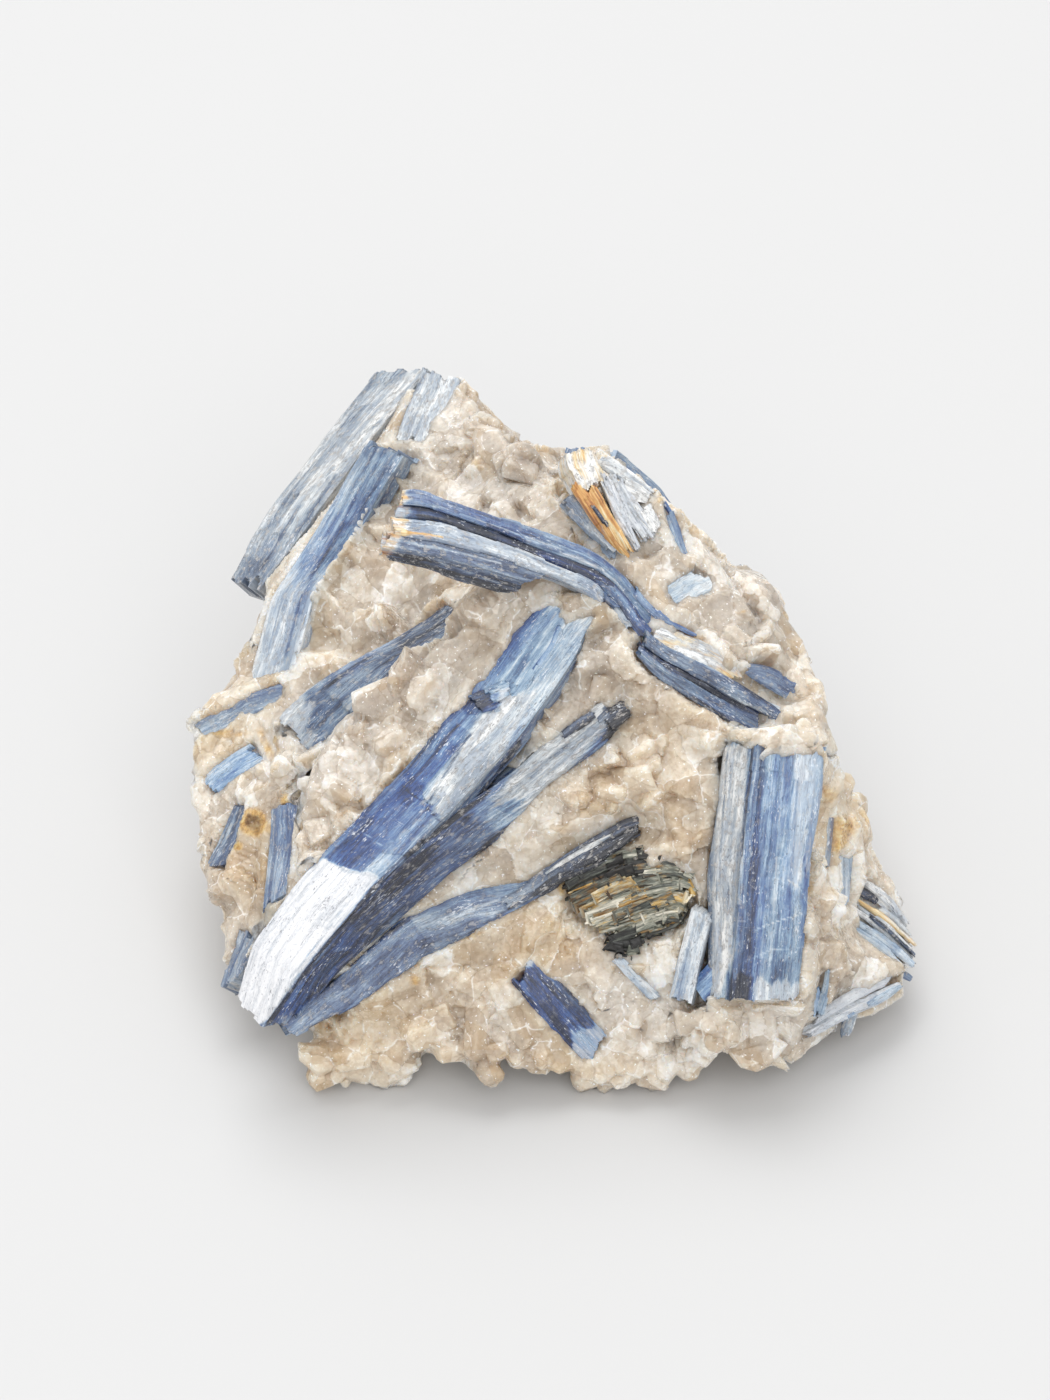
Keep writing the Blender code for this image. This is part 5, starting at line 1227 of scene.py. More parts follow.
        return base + [
            # silvery plate with its square end, small royal plates above it, pale plates above those
            (strip([(418, 791), (443, 763), (469, 737), (487, 711), (504, 690)], [(437, 819), (459, 798), (482, 774), (512, 742), (540, 704)],
                   [1.2, 1.05, 0.9, 0.75, 0.55], [2.45, 2.65, 2.6, 2.4, 2.1], 0.7), 0.36, 0.16, 0.0, 0.35, 0.6, 0.04, 0.3),
            (strip([(465, 695), (478, 690), (493, 684)], [(477, 712), (490, 710), (508, 703)], [0.25, 0.3, 0.1], [0.9, 1.0, 0.9], 0.8), 0.62, -0.1, 0.0, -0.2, 0.5, 0.08, 0.3),
            (strip([(482, 690), (494, 684), (504, 678)], [(494, 702), (506, 697), (516, 690)], [0.6, 0.6, 0.4], [1.2, 1.2, 1.0], 0.8), 0.30, 0.3, 0.0, -0.1, 0.5, 0.08, 0.3),
            (strip([(530, 668), (546, 644), (558, 622)], [(543, 686), (560, 662), (573, 640)], [0.6, 0.3, 0.0], [1.7, 1.4, 1.1], 0.6), 0.40, 0.12, 0.0, 0.2, 0.5, 0.05, 0.4),
            # the dark ends of the second blade
            (lath([(600, 726), (616, 716), (634, 703)], [16, 24, 18], [-0.15, -0.2, -0.5], 1.4), 0.97, 0.05, 0.0, 1.0, 0.3, 0.12, 0.9),
            (lath([(556, 742), (576, 726), (596, 711)], [5, 10, 8], [0.45, 0.35, 0.1], 1.2), 0.94, 0.1, 0.0, 1.0, 0.3, 0.10, 0.8),
            # the dark upper end of the third blade
            (dark_end(), 0.70, 0.12, 0.02, 1.0, 0.30, 0.10, 0.6),
            (lath([(540, 878), (566, 860), (592, 845), (612, 834)], [3, 5, 5, 1], [-1.25, -0.9, -0.6, -0.7], 1.2), 0.30, 0.35, 0.02, 0.9, 0.35, 0.06, 0.5),
            (lath([(560, 877), (590, 861), (618, 846), (640, 829)], [1, 6, 7, 2], [-1.1, -0.75, -0.55, -0.85], 1.2), 0.95, -0.3, 0.0, 1.0, 0.35, 0.06, 0.4),
            (lath([(540, 889), (562, 880), (590, 868), (612, 858)], [3, 6, 6, 2], [-1.4, -1.2, -0.9, -0.8], 1.2), 0.52, 0.25, 0.10, 1.0, 0.35, 0.06, 0.4),
        ]
    if name == "right_foot_blade":
        rows = [  # start, end, width, height, tone, frost, rust, slate
            ((856, 876), (908, 926), 12, -11.2, 0.06, 0.5, 0.08, 0.8), ((855, 888), (881, 906), 8, -10.8, 0.80, -0.1, 0.0, 0.8),
            ((878, 908), (912, 937), 6, -11.2, 0.45, 0.1, 0.1, 0.8), ((852, 896), (917, 946), 6, -10.4, 0.12, 0.1, 0.55, 0.9),
            ((854, 903), (916, 954), 5, -10.0, 0.22, 0.3, 0.12, 0.8), ((868, 914), (917, 958), 3, -9.6, 0.80, 0.0, 0.0, 0.9),
            ((851, 908), (914, 960), 5, -9.6, 0.16, 0.35, 0.1, 0.8), ((850, 918), (914, 967), 9, -9.2, 0.36, 0.14, 0.0, 0.35),
            ((848, 925), (908, 972), 7, -8.9, 0.26, 0.2, 0.0, 0.35), ((845, 932), (900, 974), 8, -8.7, 0.08, 0.4, 0.0, 0.6),
            ((843, 940), (885, 972), 7, -8.5, 0.08, 0.35, 0.05, 0.7), ((842, 949), (858, 957), 6, -8.1, 0.95, -0.3, 0.0, 0.9),
            ((856, 957), (877, 972), 7, -8.1, 0.97, -0.3, 0.0, 0.95), ((854, 964), (872, 973), 8, -8.4, 0.55, 0.0, 0.30, 1.0),
            ((898, 974), (914, 982), 9, -10.2, 0.60, 0.1, 0.0, 0.6)]
        out = []
        for i, (a, b, wd, h, t, f, r, g) in enumerate(rows):
            mid = ((a[0] + b[0]) / 2 + 1.5, (a[1] + b[1]) / 2 - 1.5)
            drop = -1.2 * (b[0] - a[0]) / 60
            out.append((lath([a, mid, b], [wd * 0.8, wd * 1.2, wd * 0.5], [h, h + drop * 0.4, h + drop], 2.2), t if t > 0.7 else t - 0.12, f + 0.1, r + 0.1, g, 0.7, 0.04, 0.3))
        return out
    if name == "altered_book":
        bands = [  # middle line, width, height, tone, gold, grey-green
            ([(556, 887), (574, 875), (592, 866), (606, 861)], [6, 12, 12, 5], [-2.0, -1.7, -1.4, -1.4], 0.86, 0.15, 0.6),
            ([(560, 893), (590, 876), (622, 862), (650, 858), (668, 864)], [7, 14, 16, 14, 6], [-2.1, -1.5, -1.1, -0.9, -0.9], 0.80, 0.30, 0.8),
            ([(563, 901), (594, 886), (630, 871), (662, 866), (692, 872)], [8, 15, 16, 15, 6], [-2.0, -1.4, -1.0, -0.7, -0.8], 0.60, 0.40, 0.8),
            ([(568, 910), (600, 896), (640, 880), (672, 874), (698, 884)], [8, 15, 16, 15, 6], [-2.1, -1.5, -1.0, -0.7, -0.8], 0.50, 0.34, 0.9),
            ([(576, 918), (610, 905), (648, 891), (678, 884), (697, 893)], [8, 15, 16, 15, 6], [-2.2, -1.6, -1.1, -0.8, -0.9], 0.36, 0.34, 0.8),
            ([(586, 926), (620, 914), (654, 902), (678, 896), (693, 904)], [8, 15, 16, 15, 6], [-2.3, -1.7, -1.3, -1.0, -1.1], 0.26, 0.34, 0.9),
            ([(598, 934), (630, 923), (658, 913), (678, 908), (688, 914)], [8, 15, 16, 13, 6], [-2.4, -1.9, -1.5, -1.2, -1.3], 0.34, 0.36, 0.8),
            ([(606, 941), (630, 934), (654, 925), (672, 920), (684, 923)], [7, 14, 14, 11, 5], [-2.5, -2.0, -1.7, -1.5, -1.5], 0.56, 0.30, 0.9),
            ([(604, 936), (616, 944), (632, 946), (646, 940)], [6, 9, 9, 5], [-2.3, -1.9, -1.8, -1.9], 0.95, 0.05, 0.6)]
        rng = np.random.default_rng(42)
        out = []
        for pts, wd, h, t, r, g in bands:
            out.append((lath(pts, wd, h, 1.8, 0.3), t, 0.1, r, g, 0.12, 0.13, 1.3))
            for _ in range(9):
                k = rng.uniform(0.0, 0.66)
                c = np.linspace(k, min(1.0, k + rng.uniform(0.22, 0.42)), 5)
                q = np.array(pts, float)
                axis = np.linspace(0, 1, len(q))
                shift = rng.uniform(-7, 7)
                line = [(np.interp(x, axis, q[:, 0]), np.interp(x, axis, q[:, 1]) + shift + rng.uniform(-1.2, 1.2)) for x in c]
                top = np.interp(c, axis, np.interp(axis, np.linspace(0, 1, len(h)), h)) + rng.uniform(0.05, 0.35)
                wide = rng.uniform(1.6, 3.4)
                out.append((lath(line, [0.5, wide, wide * 1.2, wide, 0.5], list(top), 1.0, rng.uniform(-0.5, 0.6)),
                            float(np.clip(t + rng.normal(0.03, 0.24), 0, 1)), 0.1, float(np.clip(r + rng.normal(0, 0.14), 0, 1)), g, 0.12, 0.05, 0.3))
        for pts, wd, h, t, r in [([(612, 872), (632, 863), (652, 860), (666, 866)], [4, 8, 9, 4], -0.7, 0.97, 0.05), ([(684, 876), (692, 888), (694, 900)], [5, 8, 4], -0.6, 0.30, 0.85),
                                 ([(600, 858), (604, 870), (603, 882)], [3, 6, 4], -1.0, 0.30, 0.75), ([(568, 892), (590, 884), (612, 876)], [2, 5, 2], -1.2, 0.30, 0.8),
                                 ([(646, 936), (666, 930), (682, 922), (690, 905)], [3, 4, 4, 2], -1.1, 0.85, 0.25), ([(572, 905), (584, 912), (594, 918)], [3, 6, 3], -1.6, 0.95, 0.1)]:
            out.append((lath(pts, wd, [h - 0.3, h, h - 0.3], 1.4), t, 0.0, r, 0.8, 0.3, 0.08, 0.3))
        return out
    if name == "right_edge_blade":
        return [
            (lath([(800, 1036), (820, 1026), (845, 1012), (875, 1000), (904, 984)], [8, 12, 13, 12, 6], [-4.4, -5.2, -6.2, -7.6, -9.4], 2.0), 0.06, 0.75, 0.0, 0.5, 0.4, 0.10, 0.7),
            (lath([(812, 1022), (832, 1008), (856, 994), (896, 978)], [7, 12, 12, 6], [-4.6, -5.6, -6.6, -9.0], 1.8), 0.04, 0.85, 0.0, 0.4, 0.4, 0.10, 0.7),
            (lath([(868, 1004), (884, 996), (902, 984)], [6, 12, 6], [-7.0, -7.9, -9.2], 1.8), 0.22, 0.25, 0.0, 0.3, 0.7, 0.05, 0.4),
            (lath([(846, 1018), (856, 1010)], [8, 6], [-6.0, -6.4], 1.4), 0.36, 0.2, 0.0, 0.3, 0.7, 0.05, 0.3),
            (lath([(852, 1008), (848, 1024), (843, 1040)], [12, 12, 8], [-7.3, -7.9, -8.5], 1.4), 0.42, 0.2, 0.05, 0.9, 0.8, 0.05, 0.4),
        ]
    if name == "small_blue_blade":
        return [(lath([(828, 966), (826, 985), (818, 1016)], [5, 7, 8], [-3.5, -3.7, -4.2], 1.2), 0.22, 0.2, 0.0, 0.15, 0.6, 0.04, 0.3),
                (lath([(819, 986), (814, 1002), (812, 1017)], [4, 6, 5], [-3.6, -3.9, -4.2], 1.2), 0.34, 0.15, 0.0, 0.15, 0.6, 0.04, 0.3)]
    if name == "top_edge_blade":
        return [(lath([(661, 497), (667, 507), (672, 516)], [3, 4, 3], [-3.3, -3.3, -3.2], 1.4), 0.66, 0.0, 0.0, 0.0, 0.8, 0.04, 0.2),
                (lath([(668, 510), (674, 528), (680, 545), (687, 561)], [8, 9, 7, 5], [-3.3, -3.1, -3.0, -3.0], 1.5), 0.36, 0.25, 0.02, 0.35, 0.6, 0.05, 0.4),
                (lath([(659, 508), (663, 516), (665, 523)], [4, 6, 4], [-3.2, -3.1, -3.1], 1.4), 0.85, 0.0, 0.2, 0.7, 0.8, 0.04, 0.2)]
    style = STYLE[name]
    return [(slab, *style[:7]) for slab in CRYSTALS[name]]


def slab_rings(slab, index, style, step):
    """Rings of points round one blade: its broad face broken into lamellae of slightly
    different height that end raggedly, and its sides layered."""
    lam, relief, rag, seed = style
    rng = np.random.default_rng(4000 + seed * 17 + index)
    profile, thick = slab[0], slab[1]
    s, L, R, N, D = blade_frames(slab, step)
    length = s[-1]
    width = np.linalg.norm(R - L, axis=1)
    mean_w = float(width.mean())
    n_u = max(8, int(mean_w / step))
    n = len(s)
    u = np.linspace(0, 1, n_u)
    # the two long edges have small jogs where lamellae end
    jog_l = 0.35 * (noise2(s / 5.0, 0.5, seed + 100 + index, 3) - 0.65) + 0.22 * (noise2(np.floor(s / 2.3 + 2 * noise2(s / 3.0, 1.5, seed + 5)), 3.7, seed + 200 + index, 1) - 0.4)
    jog_r = 0.35 * (noise2(s / 5.0, 8.5, seed + 300 + index, 3) - 0.65) + 0.22 * (noise2(np.floor(s / 2.6 + 2 * noise2(s / 3.0, 4.5, seed + 6)), 9.7, seed + 400 + index, 1) - 0.4)
    unit = (R - L) / width[:, None]
    L = L + unit * jog_l[:, None]
    R = R - unit * jog_r[:, None]
    width = np.linalg.norm(R - L, axis=1)
    um = u[None, :] * width[:, None]
    sm = np.broadcast_to(s[:, None], um.shape)
    edges = [0.0]
    while edges[-1] < mean_w:
        edges.append(edges[-1] + 0.22 + rng.exponential(lam))
    edges = np.array(edges[1:-1])
    scaled = u[None, :] * mean_w + 0.5 * lam * (noise2(sm / 9.0, um / 2.5, seed + 11, 3) - 0.5)
    K = np.searchsorted(edges, scaled)
    n_lam = len(edges) + 1
    H = np.zeros(um.shape)
    LAM = np.zeros(um.shape)
    ends = np.zeros(um.shape, bool)
    height, jag0, jag1 = 0.0, 0.0, 0.0
    grain = noise2(um / 0.5, sm / 2.2, seed + 21, 3) - 0.5
    for k in range(n_lam):
        height = 0.5 * height + rng.normal(0, relief)
        jag0 = 0.55 * jag0 + rag * rng.random() ** 1.5
        jag1 = 0.55 * jag1 + rag * rng.random() ** 1.5
        a0, a1 = min(jag0, 0.2 * length), length - min(jag1, 0.2 * length)
        m = K == k
        mid = (np.concatenate([[0], edges, [mean_w]])[k] + np.concatenate([[0], edges, [mean_w]])[k + 1]) / 2
        run = sm[m] + rng.normal(0, 0.5) * (um[m] - mid) + 0.5 * grain[m]
        h = np.full(m.sum(), height) + rng.normal(0, 0.05) * (um[m] - mid)
        tag = np.full(m.sum(), rng.random())
        for c in rng.uniform(a0, a1, rng.poisson(length / 15)):
            h += np.where(run > c, rng.normal(0, relief), 0)
            tag = np.where(run > c, (tag + rng.uniform(0.2, 0.8)) % 1.0, tag)
        h -= h.mean() - height if len(h) else 0
        h = np.clip(h, -0.3 * thick, 0.12)
        gone = (run < a0) | (run > a1)
        h = np.where(gone, -0.75 * thick - 0.4 * rng.random(), h)
        H[m], LAM[m], ends[m] = h, tag, gone
    # fine ridges along the grain and a slight rounding of the long edges
    H += 0.05 * (noise2(um / 0.35, sm / 7.0, seed + 31, 3) - 0.5) * (relief / 0.1)
    H += 0.03 * (noise2(um / 1.2, sm / 3.0, seed + 41, 4) - 0.5)
    near = np.minimum(um, width[:, None] - um)
    H -= 0.16 * np.clip(1 - near / 0.3, 0, 1) ** 2
    top = L[:, None, :] + unit[:, None, :] * um[:, :, None] + N[:, None, :] * H[:, :, None]
    # side walls, layered
    rows = max(4, int(thick / max(0.25, step)))
    fr = np.linspace(0, 1, rows + 1)[1:]
    walls = []
    for side, A, sign, col in (("l", L, -1.0, 0), ("r", R, 1.0, -1)):
        h0 = H[:, col]
        depth = -h0[:, None] + fr[None, :] * (thick * 0.97 + h0)[:, None]
        layer = np.floor(depth / 0.55 + 1.2 * noise2(s / 12.0, 2.2, seed + 51)[:, None])
        out = 0.16 * (noise2(layer * 1.7 + 0.5, sm[:, :1] / 14.0, seed + 61 + col, 2) - 0.6)
        out = out - 0.35 * np.clip((fr[None, :] - 0.8) / 0.2, 0, 1)
        W_ = A[:, None, :] - N[:, None, :] * depth[:, :, None] + unit[:, None, :] * (sign * out)[:, :, None]
        walls.append((W_, depth, (layer * 0.37 + 0.13 * (col + 2)) % 1.0))
    ring = np.concatenate([walls[0][0][:, ::-1], top, walls[1][0]], 1)
    uvx = np.concatenate([-walls[0][1][:, ::-1] - 0.1, um, width[:, None] + walls[1][1] + 0.1], 1)
    lamv = np.concatenate([walls[0][2][:, ::-1], LAM, walls[1][2]], 1)
    wall = np.concatenate([np.ones((n, rows)), np.where(ends, 0.6, 0.0), np.ones((n, rows))], 1)
    uv = np.stack([uvx + index * 37.0 + seed * 5.0, np.broadcast_to(s[:, None], uvx.shape) + seed * 3.0], 2)
    run = np.broadcast_to(D[:, None, :], ring.shape)
    return ring, uv, lamv, wall, run


def blade_piece(name):
    seed = STYLE[name][-1]
    V, F, UV, LAM, WALL, RUN, BASE = [], [], [], [], [], [], []
    count = 0
    for index, (slab, tone0, frost0, rust0, slate0, lam_w, relief, rag) in enumerate(look_of(name)):
        ring, uv, lam, wall, run = slab_rings(slab, index, (lam_w, relief, rag, seed), FINE.get(name, 0.2))
        n, m = ring.shape[:2]
        V.append(ring.reshape(-1, 3))
        UV.append(uv.reshape(-1, 2))
        LAM.append(lam.ravel())
        WALL.append(wall.ravel())
        RUN.append(run.reshape(-1, 3))
        BASE.append(np.tile([tone0, frost0, rust0, slate0], (n * m, 1)))
        i, j = np.meshgrid(np.arange(n - 1), np.arange(m), indexing="ij")
        k = (j + 1) % m
        quads = np.stack([i * m + j, i * m + k, (i + 1) * m + k, (i + 1) * m + j], 2).reshape(-1, 4) + count
        F.extend(map(tuple, quads.tolist()))
        F.append(tuple(range(count + m - 1, count - 1, -1)))
        F.append(tuple(range(count + (n - 1) * m, count + n * m)))
        count += n * m
    BASE = np.concatenate(BASE)
    V, UV, LAM, WALL, RUN = (np.concatenate(a) for a in (V, UV, LAM, WALL, RUN))
    obj = new_object(name + "_look", V / 1000, F, smooth=True)
    mesh = obj.data
    bm = bmesh.new()
    bm.from_mesh(mesh)
    bmesh.ops.recalc_face_normals(bm, faces=bm.faces)
    bm.to_mesh(mesh)
    bm.free()
    mesh.set_sharp_from_angle(angle=math.radians(32))
    uvl = mesh.uv_layers.new(name="grain")
    loops = np.empty(len(mesh.loops), dtype=int)
    mesh.loops.foreach_get("vertex_index", loops)
    uvl.data.foreach_set("uv", UV[loops].astype(np.float32).ravel())
    sheet = to_sheet(V)
    vis = front_side(sheet)
    jag = 3.4 * (noise2(UV[:, 0] / 0.45, UV[:, 1] / 5.0, seed + 71, 3, 0.6) - 0.5)
    jag += 1.6 * (noise2(UV[:, 0] / 1.6, UV[:, 1] / 3.0, seed + 72, 2) - 0.5)
    warped = to_sheet(V + RUN * jag[:, None])
    tone = BASE[:, 0] + 0.03 + (LAM - 0.5) * 0.24 + 0.05 * WALL
    frost_and_painted_glare = BASE[:, 1] + (LAM * 7 % 1 - 0.5) * 0.22
    rust = BASE[:, 2].copy()
    slate = BASE[:, 3] + (LAM * 13 % 1 - 0.5) * 0.2 + 0.2 * WALL
    for pieces, outline, soft, jagged, dt, df, dr, ds in AREAS:
        if name not in pieces.split():
            continue
        b = area_mask(sheet * (1 - jagged) + warped * jagged, outline, soft) * vis
        tone += dt * b
        frost_and_painted_glare += df * b
        rust += dr * b
        slate += ds * b
    wob = noise2(UV[:, 0] / 1.5, UV[:, 1] / 2.2, seed + 73, 2)
    for pieces, points, half, dt, df, dr, ds in LINES:
        if name not in pieces.split():
            continue
        b = line_mask(sheet, points, half, wob) * vis
        tone += dt * b
        frost_and_painted_glare += df * b
        rust += dr * b
        slate += ds * b
    attribute(mesh, "tone", np.clip(tone, 0, 1))
    attribute(mesh, "frost_and_painted_glare", np.clip(frost_and_painted_glare, 0, 1.4))
    attribute(mesh, "rust", np.clip(rust, 0, 1.2))
    attribute(mesh, "slate", np.clip(slate, 0, 1))
    return obj


# ---------------------------------------------------------------- node materials
class Nodes:
    def __init__(self, name):
        self.mat = bpy.data.materials.new(name)
        self.mat.use_nodes = True
        self.tree = self.mat.node_tree
        self.bsdf = self.tree.nodes["Principled BSDF"]

    def new(self, kind, **props):
        n = self.tree.nodes.new(kind)
        for k, v in props.items():
            setattr(n, k, v)
        return n

    def link(self, a, b):
        self.tree.links.new(a, b)

    def put(self, socket, value):
        if hasattr(value, "is_linked") or isinstance(value, bpy.types.NodeSocket):
            self.link(value, socket)
        else:
            socket.default_value = value

    def attr(self, name):
        return self.new("ShaderNodeAttribute", attribute_name=name).outputs["Fac"]

    def math(self, op, a, b=0.0, c=0.0, clamp=False):
        n = self.new("ShaderNodeMath", operation=op, use_clamp=clamp)
        self.put(n.inputs[0], a)
        self.put(n.inputs[1], b)
        self.put(n.inputs[2], c)
        return n.outputs[0]

    def mix(self, fac, a, b, blend="MIX"):
        n = self.new("ShaderNodeMix", data_type="RGBA", blend_type=blend)
        self.put(n.inputs[0], fac)
        self.put(n.inputs[6], a)
        self.put(n.inputs[7], b)
        return n.outputs[2]

    def noise(self, vector, scale, detail=3.0, rough=0.55, w=None, distortion=0.0):
        n = self.new("ShaderNodeTexNoise")
        self.put(n.inputs["Vector"], vector)
        n.inputs["Scale"].default_value = scale
        n.inputs["Detail"].default_value = detail
        n.inputs["Roughness"].default_value = rough
        n.inputs["Distortion"].default_value = distortion
        return n.outputs["Fac"]

    def mapping(self, vector, scale=(1, 1, 1), move=(0, 0, 0)):
        n = self.new("ShaderNodeMapping")
        self.put(n.inputs["Vector"], vector)
        n.inputs["Scale"].default_value = scale
        n.inputs["Location"].default_value = move
        return n.outputs["Vector"]

    def ramp(self, fac, stops, mode="LINEAR"):
        n = self.new("ShaderNodeValToRGB")
        n.color_ramp.interpolation = mode
        while len(n.color_ramp.elements) < len(stops):
            n.color_ramp.elements.new(0.5)
        for e, (pos, col) in zip(n.color_ramp.elements, stops):
            e.position = pos
            e.color = col if len(col) == 4 else (*col, 1)
        self.put(n.inputs["Fac"], fac)
        return n.outputs["Color"]

    def step(self, value, low, high):
        n = self.new("ShaderNodeMapRange", clamp=True)
        n.interpolation_type = "SMOOTHSTEP"
        self.put(n.inputs["Value"], value)
        n.inputs["From Min"].default_value = low
        n.inputs["From Max"].default_value = high
        return n.outputs["Result"]


def srgb(r, g, b):
    f = lambda c: (c / 255 / 12.92) if c / 255 <= 0.04045 else ((c / 255 + 0.055) / 1.055) ** 2.4
    return (f(r), f(g), f(b), 1.0)


def kyanite_material(name):
    m = Nodes(name)
    uv = m.new("ShaderNodeUVMap", uv_map="grain").outputs["UV"]
    tone, frost_and_painted_glare, rust, slate = m.attr("tone"), m.attr("frost_and_painted_glare"), m.attr("rust"), m.attr("slate")
    off = lambda v, k, mid=0.5: m.math("MULTIPLY", m.math("SUBTRACT", v, mid), k)
    zone = m.noise(m.mapping(uv, (0.30, 0.07, 1)), 1.0, 2.0)
    cloud = m.noise(m.mapping(uv, (0.9, 0.42, 1), (6, 2, 0)), 1.0, 5.0, 0.62, distortion=0.4)
    streak = m.noise(m.mapping(uv, (2.0, 0.12, 1), (3, 7, 0)), 1.0, 6.0, 0.62, distortion=0.3)
    fibre = m.noise(m.mapping(uv, (6.5, 0.26, 1), (9, 1, 0)), 1.0, 4.0, 0.6)
    hair = m.noise(m.mapping(uv, (18, 0.6, 1), (2, 5, 0)), 1.0, 2.0)
    grit = m.noise(m.mapping(uv, (6.0, 2.6, 1), (1, 9, 0)), 1.0, 4.0, 0.7)
    t = m.math("ADD", tone, off(zone, 0.7))
    t = m.math("ADD", t, off(streak, 1.1))
    t = m.math("ADD", t, off(cloud, 0.75))
    t = m.math("ADD", t, off(fibre, 0.55))
    t = m.math("ADD", t, off(hair, 0.30))
    t = m.math("ADD", t, off(grit, 0.35), clamp=True)
    blue = m.ramp(t, [
        (0.00, srgb(216, 224, 232)), (0.16, srgb(180, 200, 219)), (0.34, srgb(136, 165, 197)),
        (0.52, srgb(88, 120, 168)), (0.70, srgb(51, 80, 139)), (0.86, srgb(32, 50, 95)), (1.00, srgb(22, 30, 54))])
    steel = m.ramp(t, [
        (0.00, srgb(214, 222, 226)), (0.16, srgb(178, 196, 208)), (0.34, srgb(136, 162, 184)),
        (0.52, srgb(94, 124, 153)), (0.70, srgb(62, 88, 120)), (0.86, srgb(38, 54, 82)), (1.00, srgb(24, 32, 50))])
    hue = m.noise(m.mapping(uv, (0.24, 0.06, 1), (17, 5, 0)), 1.0, 2.0)
    blue = m.mix(m.math("MULTIPLY", m.step(hue, 0.44, 0.60), 0.75), blue, steel)
    grey = m.ramp(t, [
        (0.00, srgb(240, 239, 236)), (0.20, srgb(202, 205, 206)), (0.40, srgb(154, 164, 174)),
        (0.58, srgb(108, 122, 142)), (0.76, srgb(68, 80, 102)), (0.90, srgb(44, 50, 64)), (1.00, srgb(30, 32, 40))])
    g = m.math("ADD", slate, off(streak, 0.7), clamp=True)
    colour = m.mix(g, blue, grey)
    # silvery cleavage flakes, lying in long patches, and the painted glare on the front blade's lower end, which uses
    # the same white
    f = m.math("ADD", frost_and_painted_glare, off(cloud, 1.5, 0.53))
    f = m.math("ADD", f, off(streak, 1.3, 0.53))
    f = m.math("ADD", f, off(fibre, 0.6))
    f = m.math("ADD", f, off(grit, 0.35))
    f = m.step(f, 0.34, 0.70)
    v = m.math("ADD", m.math("MULTIPLY", frost_and_painted_glare, 0.74), off(fibre, 0.7))
    v = m.math("ADD", v, off(streak, 0.9))
    v = m.math("ADD", v, off(grit, 0.85))
    silver = m.ramp(v, [(0.12, srgb(128, 140, 160)), (0.36, srgb(168, 178, 190)), (0.64, srgb(200, 204, 210)), (0.88, srgb(231, 232, 235)), (1.0, srgb(242, 242, 244))])
    colour = m.mix(m.math("MULTIPLY", f, m.math("ADD", 0.62, m.math("MULTIPLY", frost_and_painted_glare, 0.36), clamp=True)), colour, silver)
    # hairline cracks, along and across
    crack = m.noise(m.mapping(uv, (1.1, 0.35, 1), (5, 5, 0)), 1.0, 4.0, 0.6, distortion=0.8)
    crack = m.math("SUBTRACT", 1.0, m.step(m.math("ABSOLUTE", m.math("SUBTRACT", crack, 0.5)), 0.0, 0.010))
    crack = m.math("MULTIPLY", crack, m.step(grit, 0.42, 0.6))
    colour = m.mix(m.math("MULTIPLY", crack, 0.75), colour, srgb(84, 92, 112))
    # white and dark flecks
    fleck = m.noise(m.mapping(uv, (7.5, 2.0, 1), (4, 4, 0)), 1.0, 3.0, 0.6)
    fleck = m.math("ADD", fleck, off(m.noise(m.mapping(uv, (0.7, 0.3, 1), (3, 3, 0)), 1.0, 2.0), 0.5, 0.55))
    colour = m.mix(m.math("MULTIPLY", m.step(fleck, 0.62, 0.66), 0.75), colour, srgb(226, 230, 236))
    dirt = m.noise(m.mapping(uv, (6.0, 2.2, 1), (2, 14, 0)), 1.0, 3.0, 0.6)
    dirt = m.math("ADD", dirt, off(m.noise(m.mapping(uv, (0.7, 0.3, 1), (13, 3, 0)), 1.0, 2.0), 0.4, 0.5))
    colour = m.mix(m.math("MULTIPLY", m.step(dirt, 0.64, 0.70), 0.6), colour, srgb(60, 62, 76))
    # crumbs of quartz left on the dull parts
    crumb = m.noise(m.mapping(uv, (2.4, 1.3, 1), (21, 3, 0)), 1.0, 5.0, 0.7)
    crumb = m.math("MULTIPLY", m.step(crumb, 0.53, 0.60), m.math("ADD", 0.06, m.math("MULTIPLY", slate, 0.9), clamp=True))
    colour = m.mix(m.math("MULTIPLY", crumb, 0.8), colour, m.ramp(grit, [(0.35, srgb(150, 146, 146)), (0.55, srgb(196, 193, 190)), (0.7, srgb(226, 222, 216))]))
    # dark partings between the laths
    gap = m.math("SUBTRACT", 1.0, m.step(m.math("ABSOLUTE", m.math("SUBTRACT", streak, 0.44)), 0.0, 0.012))
    gap = m.math("MULTIPLY", gap, m.step(zone, 0.44, 0.54))
    colour = m.mix(m.math("MULTIPLY", gap, 0.7), colour, srgb(38, 44, 66))
    # faint cross partings
    cross = m.noise(m.mapping(uv, (0.30, 1.5, 1), (1, 2, 0)), 1.0, 2.0, 0.5)
    line = m.math("SUBTRACT", 1.0, m.step(m.math("ABSOLUTE", m.math("SUBTRACT", cross, 0.5)), 0.0, 0.006))
    gate = m.step(m.noise(m.mapping(uv, (0.35, 0.22, 1), (8, 3, 0)), 1.0, 1.0), 0.56, 0.62)
    line = m.math("MULTIPLY", line, m.math("MULTIPLY", gate, 0.4))
    colour = m.mix(line, colour, srgb(206, 214, 226))
